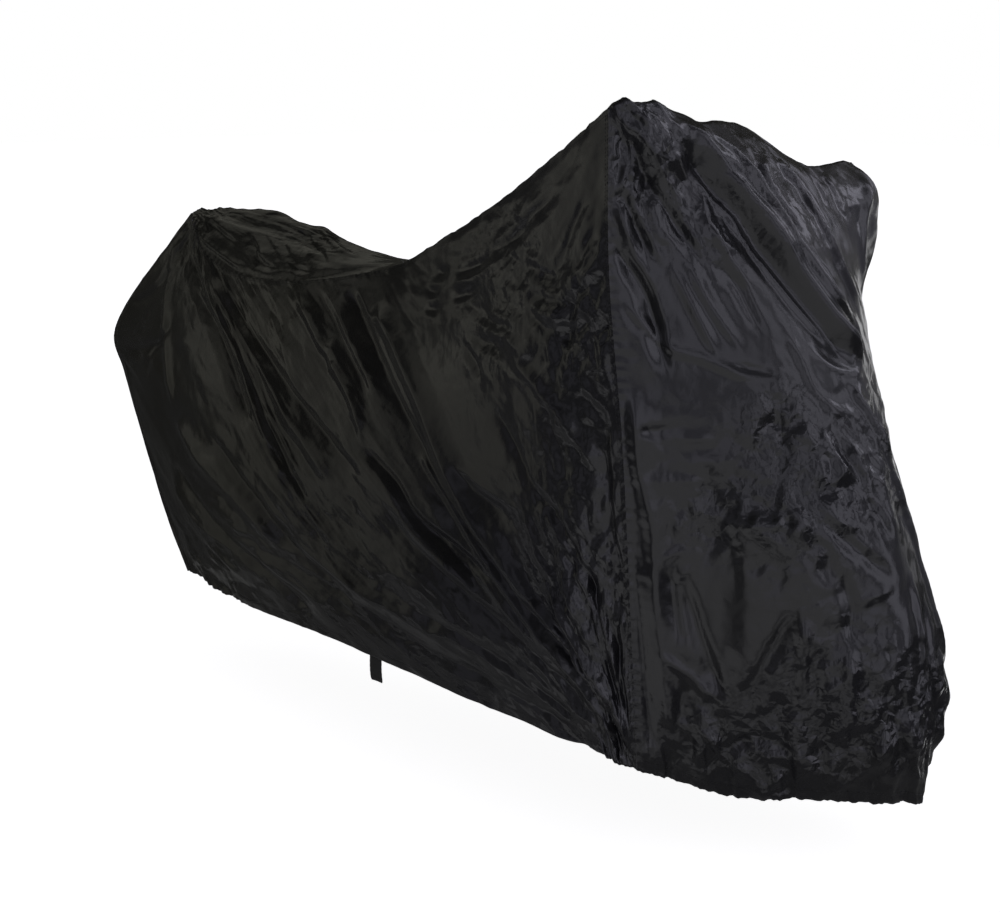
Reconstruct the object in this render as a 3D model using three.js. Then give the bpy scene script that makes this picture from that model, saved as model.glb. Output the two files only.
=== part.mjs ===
// A fitted motorcycle cover as it hangs: two side panels, one long centre panel and a webbing tab.
// Millimetres. x is forward, y is left, z is up. The cover is hollow and open along its hem.
import * as THREE from "three";

// Driving sizes
const CLOTH = 2;
const SEAM_GAP = 0.3;
const LEAN = THREE.MathUtils.degToRad(8);
const SADDLE = new THREE.Vector3(-1324, 0, 976);
const FRONT_SEAM_LENGTH = 1000;
const REAR_SEAM_LENGTH = 1000;
const TAB = { x: -757, width: 32, tuck: 12, drop: 50, bend: 4, steps: 7, roundEnd: 5 };

// Grid steps: hem to top seam, front seam to rear seam, and across the centre panel
const STEPS_UP = 21;
const STEPS_ALONG = 42;
const STEPS_ACROSS = 18;

// A side panel's ribs, front seam first: [x, w, h] with w out from the middle plane and h up along it.
// The first ribs spring from one gathered corner of the hem, the last ones from the top of the tail.
const RIBS = [
  { hem: [-160, 221, 140], low: [-180, 262, 414], mid: [-197, 305, 677], high: [-224, 345, 929], top: [-238, 370, 1178] },
  { hem: [-169, 225, 143], low: [-210, 270, 384], mid: [-251, 310, 630], high: [-303, 330, 877], top: [-366, 320, 1115] },
  { hem: [-182, 230, 145], low: [-238, 280, 346], mid: [-327, 310, 577], high: [-429, 300, 809], top: [-551, 245, 1036] },
  { hem: [-203, 235, 148], low: [-289, 280, 334], mid: [-414, 290, 536], high: [-579, 250, 743], top: [-765, 160, 961] },
  { hem: [-237, 240, 153], low: [-352, 280, 320], mid: [-520, 270, 508], high: [-722, 210, 699], top: [-931, 100, 907] },
  { hem: [-306, 245, 159], low: [-427, 270, 319], mid: [-608, 250, 492], high: [-844, 190, 675], top: [-1075, 100, 875] },
  { hem: [-438, 250, 170], low: [-573, 265, 321], mid: [-769, 240, 482], high: [-1005, 180, 655], top: [-1254, 100, 851] },
  { hem: [-637, 245, 179], low: [-763, 250, 297], mid: [-951, 220, 449], high: [-1184, 165, 633], top: [-1426, 90, 853] },
  { hem: [-929, 225, 193], low: [-1063, 225, 331], mid: [-1222, 200, 505], high: [-1405, 150, 701], top: [-1564, 75, 896] },
  { hem: [-1198, 190, 191], low: [-1327, 190, 320], mid: [-1488, 160, 486], high: [-1634, 110, 711], top: [-1610, 65, 938] },
  { hem: [-1473, 120, 197], low: [-1648, 100, 381], mid: [-1820, 70, 589], high: [-1902, 45, 715], top: [-1645, 55, 972] },
];

// The centre panel up the front, hem first. at counts a side panel's rows, 0 at the hem to 4 at the top.
// a to e run from right to left as [x, w, h], w positive to the left. The lower rows follow the turned wheel.
const FRONT = [
  { at: 0.0, a: [-67, -125, 112], b: [60, -50, 128], c: [172, 62, 128], d: [128, 175, 110], e: [-24, 215, 115] },
  { at: 0.4, a: [-80, -160, 235], b: [60, -85, 240], c: [180, 25, 243], d: [178, 128, 238], e: [60, 240, 240] },
  { at: 0.8, a: [-80, -185, 350], b: [60, -105, 350], c: [176, 10, 352], d: [178, 118, 345], e: [70, 250, 345] },
  { at: 1.4, a: [-90, -205, 515], b: [40, -125, 520], c: [135, 0, 535], d: [100, 130, 535], e: [10, 255, 530] },
  { at: 2.0, a: [-105, -230, 680], b: [0, -140, 690], c: [65, 0, 700], d: [28, 125, 700], e: [-62, 270, 690] },
  { at: 3.0, a: [-150, -262, 935], b: [-80, -150, 945], c: [-40, 0, 950], d: [-75, 150, 940], e: [-152, 290, 925] },
  { at: 3.5, a: [-182, -300, 1080], b: [-135, -180, 1080], c: [-112, 0, 1085], d: [-140, 160, 1065], e: [-160, 342, 1062] },
  { at: 3.8, a: [-190, -325, 1160], b: [-165, -190, 1140], c: [-165, -10, 1155], d: [-175, 165, 1118], e: [-180, 352, 1138] },
  { at: 4.0, a: [-213, -345, 1204], b: [-200, -210, 1178], c: [-225, -20, 1194], d: [-215, 170, 1148], e: [-232, 335, 1178] },
];

// Over the bars, tank and seat: the rib whose top ends each row, then the crest and the points beside it
const TOP = [
  { rib: 1, near: [-360, 205, 1100], crest: [-350, 1085] },
  { rib: 2, near: [-550, 150, 1015], crest: [-550, 1005] },
  { rib: 3, near: [-765, 95, 952], crest: [-765, 948] },
  { rib: 4, near: [-950, 62, 916], crest: [-975, 920] },
  { rib: 5, near: [-1090, 62, 912], crest: [-1110, 930] },
  { rib: 6, near: [-1265, 62, 922], crest: [-1275, 967] },
  { rib: 7, near: [-1428, 58, 930], crest: [-1430, 986] },
  { rib: 8, near: [-1560, 50, 958], crest: [-1550, 993] },
  { rib: 9, near: [-1615, 42, 972], crest: [-1612, 986] },
  { rib: 10, near: [-1662, 36, 977], crest: [-1672, 980] },
];

// Down the tail to the rear hem, at counted as on the front
const REAR = [
  { at: 3, near: [-1915, 30, 714], crest: [-1925, 713] },
  { at: 2, near: [-1860, 46, 590], crest: [-1880, 590] },
  { at: 1, near: [-1700, 66, 378], crest: [-1730, 376] },
  { at: 0, near: [-1525, 80, 186], crest: [-1560, 180] },
];

// Folds that follow the ribs: rib numbers at the top and at the hem, half width in ribs, depth in mm
// (a trough where negative), and the stretch of height they fill, 0 at the hem to 1 at the top
const FAN_FOLDS = [
  { top: 4.3, hem: 2.2, half: 0.55, depth: 22, from: 0.02, to: 0.95 },
  { top: 5.0, hem: 3.2, half: 0.45, depth: -16, from: 0.02, to: 0.9 },
  { top: 3.2, hem: 1.2, half: 0.5, depth: -18, from: 0.05, to: 0.8 },
  { top: 6.1, hem: 4.4, half: 0.5, depth: 14, from: 0.05, to: 0.8 },
  { top: 7.2, hem: 6.6, half: 0.4, depth: -14, from: 0.25, to: 0.98 },
  { top: 8.2, hem: 7.2, half: 0.4, depth: 14, from: 0.2, to: 0.98 },
  { top: 9.0, hem: 8.2, half: 0.45, depth: -12, from: 0.15, to: 0.95 },
  { top: 0.9, hem: 0.4, half: 0.45, depth: 10, from: 0.1, to: 0.75 },
];

// The left panel is plainer: the same fan, shallower and shifted along the ribs
const LEFT_FAN = { depth: 0.6, shift: -0.45 };

// Straight folds of the front, from and to as [w, h]
const FRONT_FOLDS = [
  { from: [-330, 1190], to: [170, 878], half: 85, depth: 24 },
  { from: [-345, 1080], to: [200, 720], half: 80, depth: -20 },
  { from: [-340, 1000], to: [-60, 640], half: 75, depth: 14 },
  { from: [-110, 130], to: [-120, 360], half: 60, depth: 14 },
  { from: [10, 130], to: [-40, 420], half: 60, depth: -14 },
  { from: [120, 130], to: [60, 420], half: 60, depth: 14 },
];

// Straight folds across the seat, from and to as [x, w]
const SEAT_FOLDS = [
  { from: [-1310, -25], to: [-1130, -90], half: 38, depth: 9 },
  { from: [-1220, -20], to: [-1050, -85], half: 36, depth: -7 },
  { from: [-1440, -20], to: [-1250, -90], half: 42, depth: -8 },
  { from: [-1560, -20], to: [-1400, -80], half: 40, depth: 7 },
];

// A smooth curve through rows of numbers at rising knots; at a corner each side keeps its own direction
function curveAt(knots, rows, t, corners = []) {
  const last = knots.length - 1;
  let k = 0;
  while (k < last - 1 && t > knots[k + 1]) k += 1;
  const span = (i) => knots[i + 1] - knots[i];
  const slope = (i, c) => (rows[i + 1][c] - rows[i][c]) / span(i);
  const tangent = (i, c) => {
    if (i === 0 || i === last || corners.includes(knots[i])) return slope(k, c);
    return (slope(i - 1, c) * span(i) + slope(i, c) * span(i - 1)) / (span(i - 1) + span(i));
  };
  const s = (t - knots[k]) / span(k);
  return rows[k].map((start, c) => {
    const end = rows[k + 1][c];
    const rise = end - start;
    const out = tangent(k, c) * span(k);
    const into = tangent(k + 1, c) * span(k);
    return start + s * (out + s * (3 * rise - 2 * out - into + s * (out + into - 2 * rise)));
  });
}

const steps = (count) => Array.from({ length: count + 1 }, (_, i) => i / count);
const smooth = (t) => { const s = THREE.MathUtils.clamp(t, 0, 1); return s * s * (3 - 2 * s); };
const distance = (p, q) => Math.hypot(...p.map((value, i) => value - q[i]));

// Knots along a side panel: the mean of what lies between two ribs at the hem and at the top
const RIB_KNOTS = RIBS.reduce((knots, rib, i) => {
  if (i === 0) return [0];
  const step = (distance(rib.hem, RIBS[i - 1].hem) + distance(rib.top, RIBS[i - 1].top)) / 2;
  return [...knots, knots[i - 1] + step];
}, []);
const TOP_LENGTH = RIB_KNOTS.at(-1);
const LEVELS = ["hem", "low", "mid", "high", "top"];
const LEVEL_KNOTS = [0, 1, 2, 3, 4];

// A point of a side panel in the leaning frame, side -1 right and 1 left
function sidePoint(side, along, level) {
  const column = LEVELS.map((name) => curveAt(RIB_KNOTS, RIBS.map((rib) => rib[name]), along));
  const [x, w, h] = curveAt(LEVEL_KNOTS, column, level);
  return [x, side * w, h];
}

function seamPoint(side, at) {
  if (at <= FRONT_SEAM_LENGTH) return sidePoint(side, 0, 4 * at / FRONT_SEAM_LENGTH);
  if (at <= FRONT_SEAM_LENGTH + TOP_LENGTH) return sidePoint(side, at - FRONT_SEAM_LENGTH, 4);
  return sidePoint(side, TOP_LENGTH, 4 - 4 * (at - FRONT_SEAM_LENGTH - TOP_LENGTH) / REAR_SEAM_LENGTH);
}

// The centre panel's rows in order, each with its place along the seam and its five inner points
function symmetricRow({ near, crest }) {
  const [x, w, h] = near;
  const [crestX, crestH] = crest;
  return [[x, -w, h], [(x + crestX) / 2, -w / 2, (h + crestH) / 2], [crestX, 0, crestH],
    [(x + crestX) / 2, w / 2, (h + crestH) / 2], [x, w, h]];
}

function centreRows() {
  const front = FRONT.map(({ at, a, b, c, d, e }) => ({ at: at / 4 * FRONT_SEAM_LENGTH, inner: [a, b, c, d, e] }));
  const top = TOP.map((row) => ({ at: FRONT_SEAM_LENGTH + RIB_KNOTS[row.rib], inner: symmetricRow(row) }));
  const rear = REAR.map((row) => ({
    at: FRONT_SEAM_LENGTH + TOP_LENGTH + (4 - row.at) / 4 * REAR_SEAM_LENGTH,
    inner: symmetricRow(row),
  }));
  return [...front, ...top, ...rear];
}

// Grids of points, [row][column] in the leaning frame
function sideGrid(side) {
  return steps(STEPS_ALONG).map((u) => steps(STEPS_UP).map((v) => sidePoint(side, u * TOP_LENGTH, 4 * v)));
}

function centrePlaces() {
  const front = steps(STEPS_UP).map((v) => v * FRONT_SEAM_LENGTH);
  const top = steps(STEPS_ALONG).map((u) => FRONT_SEAM_LENGTH + u * TOP_LENGTH);
  const rear = steps(STEPS_UP).map((v) => FRONT_SEAM_LENGTH + TOP_LENGTH + v * REAR_SEAM_LENGTH);
  return [...front, ...top.slice(1), ...rear.slice(1)];
}

function centreGrid() {
  const rows = centreRows();
  const knots = rows.map((row) => row.at);
  const corners = [FRONT_SEAM_LENGTH, FRONT_SEAM_LENGTH + TOP_LENGTH];
  return centrePlaces().map((place) => {
    const inner = [0, 1, 2, 3, 4].map((i) => curveAt(knots, rows.map((row) => row.inner[i]), place, corners));
    const section = [seamPoint(-1, place), ...inner, seamPoint(1, place)];
    return steps(STEPS_ACROSS).map((s) => curveAt([0, 1, 2, 3, 4, 5, 6], section, 6 * s));
  });
}

// Which way the centre panel's rows crossed with its columns point: -1 is into the cover
const CENTRE_OUT = -1;

// Unit normals of a grid, out of the cover
function normals(grid, outward) {
  const vector = (i, j) => new THREE.Vector3(...grid[i][j]);
  const inRange = (i, list) => THREE.MathUtils.clamp(i, 0, list.length - 1);
  return grid.map((row, i) => row.map((_, j) => {
    const alongRow = vector(inRange(i + 1, grid), j).sub(vector(inRange(i - 1, grid), j));
    const acrossRow = vector(i, inRange(j + 1, row)).sub(vector(i, inRange(j - 1, row)));
    return alongRow.cross(acrossRow).multiplyScalar(outward).normalize();
  }));
}

// A round-topped profile, 1 on the fold's line and 0 from its half width on
const foldProfile = (offset) => (Math.abs(offset) < 1 ? (1 + Math.cos(Math.PI * offset)) / 2 : 0);

function fanFoldHeight(side, rib, v) {
  const { depth, shift } = side < 0 ? { depth: 1, shift: 0 } : LEFT_FAN;
  return FAN_FOLDS.reduce((sum, fold) => {
    const centre = THREE.MathUtils.lerp(fold.hem, fold.top, v) + shift;
    const ends = smooth((v - fold.from) / 0.15) * smooth((fold.to - v) / 0.2);
    return sum + depth * fold.depth * foldProfile((rib - centre) / fold.half) * ends;
  }, 0);
}

function straightFoldHeight(folds, p, q) {
  return folds.reduce((sum, fold) => {
    const [dp, dq] = [fold.to[0] - fold.from[0], fold.to[1] - fold.from[1]];
    const length = Math.hypot(dp, dq);
    const t = ((p - fold.from[0]) * dp + (q - fold.from[1]) * dq) / length ** 2;
    const off = ((p - fold.from[0]) * dq - (q - fold.from[1]) * dp) / length;
    const ends = smooth((t + 0.1) / 0.2) * smooth((1.1 - t) / 0.2);
    return sum + fold.depth * foldProfile(off / fold.half) * ends;
  }, 0);
}

const ribNumberAt = (along) => {
  const k = Math.max(0, RIB_KNOTS.findIndex((knot, i) => i > 0 && along <= knot) - 1);
  return k + (along - RIB_KNOTS[k]) / (RIB_KNOTS[k + 1] - RIB_KNOTS[k]);
};

function displaced(grid, outward, heightAt) {
  const up = normals(grid, outward);
  return grid.map((row, i) => row.map((p, j) => {
    const height = heightAt(p, i, j);
    return [p[0] + up[i][j].x * height, p[1] + up[i][j].y * height, p[2] + up[i][j].z * height];
  }));
}

function foldedSide(side) {
  const grid = sideGrid(side);
  return displaced(grid, side, (p, i, j) => {
    const [u, v] = [i / STEPS_ALONG, j / STEPS_UP];
    const seamFade = smooth(Math.min(u, 1 - u, 1 - v) / 0.08);
    return seamFade * fanFoldHeight(side, ribNumberAt(u * TOP_LENGTH), v);
  });
}

function foldedCentre() {
  return displaced(centreGrid(), CENTRE_OUT, ([x, w, h], i, j) => {
    const across = j / STEPS_ACROSS;
    const onFront = smooth((STEPS_UP - i + 0.5) / 2);
    const onTop = smooth((i - STEPS_UP) / 4) * smooth((STEPS_UP + STEPS_ALONG - i) / 4);
    const height = onFront * straightFoldHeight(FRONT_FOLDS, w, h) + onTop * straightFoldHeight(SEAT_FOLDS, x, w);
    return smooth(Math.min(across, 1 - across) / 0.12) * height;
  });
}

// Seams: both panels share the seam's points, its mean normal and its direction, and keep a gap there
function seamFrames(points, normalsA, normalsB) {
  return points.map((p, i) => {
    const before = new THREE.Vector3(...points[Math.max(i - 1, 0)]);
    const after = new THREE.Vector3(...points[Math.min(i + 1, points.length - 1)]);
    const here = new THREE.Vector3(...p);
    const direction = after.clone().sub(before).normalize();
    const normal = normalsA[i].clone().add(normalsB[i]);
    normal.addScaledVector(direction, -normal.dot(direction)).normalize();
    const turn = i === 0 || i === points.length - 1 ? 1
      : Math.max(0.5, here.clone().sub(before).normalize().dot(direction));
    return { normal, aside: direction.clone().cross(normal).multiplyScalar(SEAM_GAP / 2 / turn) };
  });
}

const seamIndices = [
  ...steps(STEPS_UP).map((_, j) => [0, j]),
  ...steps(STEPS_ALONG).slice(1).map((_, i) => [i + 1, STEPS_UP]),
  ...steps(STEPS_UP).slice(1).map((_, j) => [STEPS_ALONG, STEPS_UP - 1 - j]),
];

// Moves a grid's seam points aside and gives them the shared normal
function joinAtSeam(grid, gridNormals, indices, frames, towards) {
  indices.forEach(([i, j], k) => {
    const shift = frames[k].aside.clone().multiplyScalar(towards);
    grid[i][j] = [grid[i][j][0] + shift.x, grid[i][j][1] + shift.y, grid[i][j][2] + shift.z];
    gridNormals[i][j] = frames[k].normal;
  });
}

const leaning = ([x, w, h]) => new THREE.Vector3(
  x, w * Math.cos(LEAN) + h * Math.sin(LEAN), h * Math.cos(LEAN) - w * Math.sin(LEAN));

// A closed sheet: the grid is its outer face, and its inner face lies CLOTH further in
function shell(grid, gridNormals, outward) {
  const [rows, columns] = [grid.length, grid[0].length];
  const outer = grid.map((row) => row.map(leaning));
  const inner = grid.map((row, i) => row.map((p, j) => {
    const n = gridNormals[i][j];
    return leaning([p[0] - n.x * CLOTH, p[1] - n.y * CLOTH, p[2] - n.z * CLOTH]);
  }));
  const positions = [...outer.flat(), ...inner.flat()].flatMap((p) => [p.x, p.y, p.z]);
  const index = [];
  const quad = (a, b, c, d) => index.push(...(outward > 0 ? [a, b, c, a, c, d] : [a, c, b, a, d, c]));
  const out = (i, j) => i * columns + j;
  const within = (i, j) => rows * columns + i * columns + j;
  for (let i = 0; i < rows - 1; i += 1) {
    for (let j = 0; j < columns - 1; j += 1) {
      quad(out(i, j), out(i + 1, j), out(i + 1, j + 1), out(i, j + 1));
      quad(within(i, j), within(i, j + 1), within(i + 1, j + 1), within(i + 1, j));
    }
    quad(out(i, 0), within(i, 0), within(i + 1, 0), out(i + 1, 0));
    quad(out(i, columns - 1), out(i + 1, columns - 1), within(i + 1, columns - 1), within(i, columns - 1));
  }
  for (let j = 0; j < columns - 1; j += 1) {
    quad(out(0, j), out(0, j + 1), within(0, j + 1), within(0, j));
    quad(within(rows - 1, j), within(rows - 1, j + 1), out(rows - 1, j + 1), out(rows - 1, j));
  }
  const geometry = new THREE.BufferGeometry();
  geometry.setAttribute("position", new THREE.Float32BufferAttribute(positions, 3));
  geometry.setIndex(index);
  geometry.computeVertexNormals();
  return geometry;
}

// The end of a webbing strap that hangs below the right hem, tucked in behind it
function tabGeometry(rightGrid, rightNormals) {
  const hem = rightGrid.map((row) => row[0]);
  const k = hem.findIndex((p) => p[0] < TAB.x);
  const point = new THREE.Vector3(...hem[k]);
  const out = rightNormals[k][0];
  const down = new THREE.Vector3(0, Math.sin(LEAN), -Math.cos(LEAN));
  const across = new THREE.Vector3(...hem[k - 1]).sub(new THREE.Vector3(...hem[k + 1]));
  across.addScaledVector(down, -across.dot(down)).normalize();
  const face = down.clone().cross(across);
  const start = point.clone().addScaledVector(out, -CLOTH - SEAM_GAP - 0.5);
  const rings = steps(TAB.steps).map((t) => {
    const reach = THREE.MathUtils.lerp(-TAB.tuck, TAB.drop, t);
    const half = TAB.width / 2 - (t === 1 ? TAB.roundEnd : 0);
    const below = Math.max(0, reach) / TAB.drop;
    const middle = start.clone().addScaledVector(down, reach).addScaledVector(across, -TAB.bend * below ** 2);
    return [[-half, 0], [half, 0], [half, -CLOTH], [-half, -CLOTH]].map(([side, depth]) => {
      const p = middle.clone().addScaledVector(across, side).addScaledVector(face, depth);
      return leaning([p.x, p.y, p.z]);
    });
  });
  const positions = rings.flat().flatMap((p) => [p.x, p.y, p.z]);
  const index = [];
  for (let i = 0; i < TAB.steps; i += 1) {
    for (let j = 0; j < 4; j += 1) {
      const [a, b] = [4 * i + j, 4 * i + (j + 1) % 4];
      index.push(a, a + 4, b, b, a + 4, b + 4);
    }
  }
  const end = 4 * TAB.steps;
  index.push(0, 1, 2, 0, 2, 3, end, end + 2, end + 1, end, end + 3, end + 2);
  const geometry = new THREE.BufferGeometry();
  geometry.setAttribute("position", new THREE.Float32BufferAttribute(positions, 3));
  geometry.setIndex(index);
  geometry.computeVertexNormals();
  return geometry;
}

const coatedCloth = () => new THREE.MeshStandardMaterial({ color: 0x1b1b1e, roughness: 0.42, metalness: 0 });
const webbing = () => new THREE.MeshStandardMaterial({ color: 0x141414, roughness: 0.8, metalness: 0 });

function named(name, geometry, material) {
  const mesh = new THREE.Mesh(geometry, material);
  mesh.name = name;
  return mesh;
}

function cover() {
  const centre = foldedCentre();
  const centreNormals = normals(centre, CENTRE_OUT);
  const panels = { right: -1, left: 1 };
  const group = new THREE.Group();
  for (const [word, side] of Object.entries(panels)) {
    const grid = foldedSide(side);
    const gridNormals = normals(grid, side);
    const column = side < 0 ? 0 : STEPS_ACROSS;
    const centreIndices = centre.map((_, i) => [i, column]);
    const seam = seamIndices.map(([i, j]) => grid[i][j]);
    const frames = seamFrames(seam, seamIndices.map(([i, j]) => gridNormals[i][j]),
      centreIndices.map(([i, j]) => centreNormals[i][j]));
    joinAtSeam(grid, gridNormals, seamIndices, frames, side);
    joinAtSeam(centre, centreNormals, centreIndices, frames, -side);
    group.add(named(`${word}_panel`, shell(grid, gridNormals, side), coatedCloth()));
    if (side < 0) group.add(named("hem_tab", tabGeometry(grid, gridNormals), webbing()));
  }
  group.add(named("centre_panel", shell(centre, centreNormals, CENTRE_OUT), coatedCloth()));
  const origin = leaning(SADDLE.toArray());
  group.position.copy(origin).negate();
  return group;
}

export default cover();
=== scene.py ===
import math

import bpy
import numpy as np
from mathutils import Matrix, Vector
from mathutils.geometry import delaunay_2d_cdt


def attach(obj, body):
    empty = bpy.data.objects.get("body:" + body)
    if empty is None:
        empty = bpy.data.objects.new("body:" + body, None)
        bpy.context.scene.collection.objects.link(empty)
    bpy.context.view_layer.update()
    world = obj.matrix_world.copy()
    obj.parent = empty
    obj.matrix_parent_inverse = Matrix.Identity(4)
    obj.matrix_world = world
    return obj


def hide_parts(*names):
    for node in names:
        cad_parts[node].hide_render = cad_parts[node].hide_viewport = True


# Driving sizes, as in the part's source
LEAN = math.radians(8)
SADDLE = (-1324, 0, 976)
FRONT_SEAM_LENGTH = 1000
REAR_SEAM_LENGTH = 1000
TAB = {"x": -766, "width": 33, "tuck": 12, "drop": 47, "lean": 5, "thick": 1.9}

# Grid cells of each panel: a multiple of four each way, for the crumpling's coarse grid
SIDE_CELLS = {"along": 384, "up": 232}
LEFT_CELLS = {"along": 288, "up": 176}
CENTRE_CELLS = {"front": 232, "top": 192, "rear": 56, "across": 188}
# Seeds of the random draws
SEEDS = {"right_panel": 11, "left_panel": 12, "centre_panel": 13,
         "right_panel_seam": 14, "left_panel_seam": 15}

# A side panel's ribs, front seam first, each with its points from the hem to the top seam: (x, w, h)
RIBS = [
    [(-160, 221, 140), (-180, 262, 414), (-197, 305, 677), (-224, 345, 929), (-238, 370, 1178)],
    [(-169, 225, 143), (-210, 270, 384), (-251, 310, 630), (-303, 330, 877), (-366, 320, 1115)],
    [(-182, 230, 145), (-238, 280, 346), (-327, 310, 577), (-429, 300, 809), (-551, 245, 1036)],
    [(-203, 235, 148), (-289, 280, 334), (-414, 290, 536), (-579, 250, 743), (-765, 160, 961)],
    [(-237, 240, 153), (-352, 280, 320), (-520, 270, 508), (-722, 210, 699), (-931, 100, 907)],
    [(-306, 245, 159), (-427, 270, 319), (-608, 250, 492), (-844, 190, 675), (-1075, 100, 875)],
    [(-438, 250, 170), (-573, 265, 321), (-769, 240, 482), (-1005, 180, 655), (-1254, 100, 851)],
    [(-637, 245, 179), (-763, 250, 297), (-951, 220, 449), (-1184, 165, 633), (-1426, 90, 853)],
    [(-929, 225, 193), (-1063, 225, 331), (-1222, 200, 505), (-1405, 150, 701), (-1564, 75, 896)],
    [(-1198, 190, 191), (-1327, 190, 320), (-1488, 160, 486), (-1634, 110, 711), (-1610, 65, 938)],
    [(-1473, 120, 197), (-1648, 100, 381), (-1820, 70, 589), (-1902, 45, 715), (-1645, 55, 972)],
]
RIB_COUNT = len(RIBS) - 1
LEVEL_COUNT = 4
COLUMN_COUNT = 6

# The centre panel up the front: the level, 0 at the hem to 4 at the top, and five points from right to left
FRONT = [
    (0.0, [(-67, -125, 112), (60, -50, 128), (172, 62, 128), (128, 175, 110), (-24, 215, 115)]),
    (0.4, [(-80, -160, 235), (60, -85, 240), (180, 25, 243), (178, 128, 238), (60, 240, 240)]),
    (0.8, [(-80, -185, 350), (60, -105, 350), (176, 10, 352), (178, 118, 345), (70, 250, 345)]),
    (1.4, [(-90, -205, 515), (40, -125, 520), (135, 0, 535), (100, 130, 535), (10, 255, 530)]),
    (2.0, [(-105, -230, 680), (0, -140, 690), (65, 0, 700), (28, 125, 700), (-62, 270, 690)]),
    (3.0, [(-150, -262, 935), (-80, -150, 945), (-40, 0, 950), (-75, 150, 940), (-152, 290, 925)]),
    (3.5, [(-182, -300, 1080), (-135, -180, 1080), (-112, 0, 1085), (-140, 160, 1065), (-160, 342, 1062)]),
    (3.8, [(-190, -325, 1160), (-165, -190, 1140), (-165, -10, 1155), (-175, 165, 1118), (-180, 352, 1138)]),
    (4.0, [(-213, -345, 1204), (-200, -210, 1178), (-225, -20, 1194), (-215, 170, 1148), (-232, 335, 1178)]),
]

# Over the bars, tank and seat: the rib whose top ends each row, the point beside the crest, and the crest
TOP = [
    (1, (-360, 205, 1100), (-350, 1085)),
    (2, (-550, 150, 1015), (-550, 1005)),
    (3, (-765, 95, 952), (-765, 948)),
    (4, (-950, 62, 916), (-975, 920)),
    (5, (-1090, 62, 912), (-1110, 930)),
    (6, (-1265, 62, 922), (-1275, 967)),
    (7, (-1428, 58, 930), (-1430, 986)),
    (8, (-1560, 50, 958), (-1550, 993)),
    (9, (-1615, 42, 972), (-1612, 986)),
    (10, (-1662, 36, 977), (-1672, 980)),
]

# Down the tail: the level, the point beside the crest, and the crest
REAR = [
    (3, (-1915, 30, 714), (-1925, 713)),
    (2, (-1860, 46, 590), (-1880, 590)),
    (1, (-1700, 66, 378), (-1730, 376)),
    (0, (-1525, 80, 186), (-1560, 180)),
]

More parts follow.
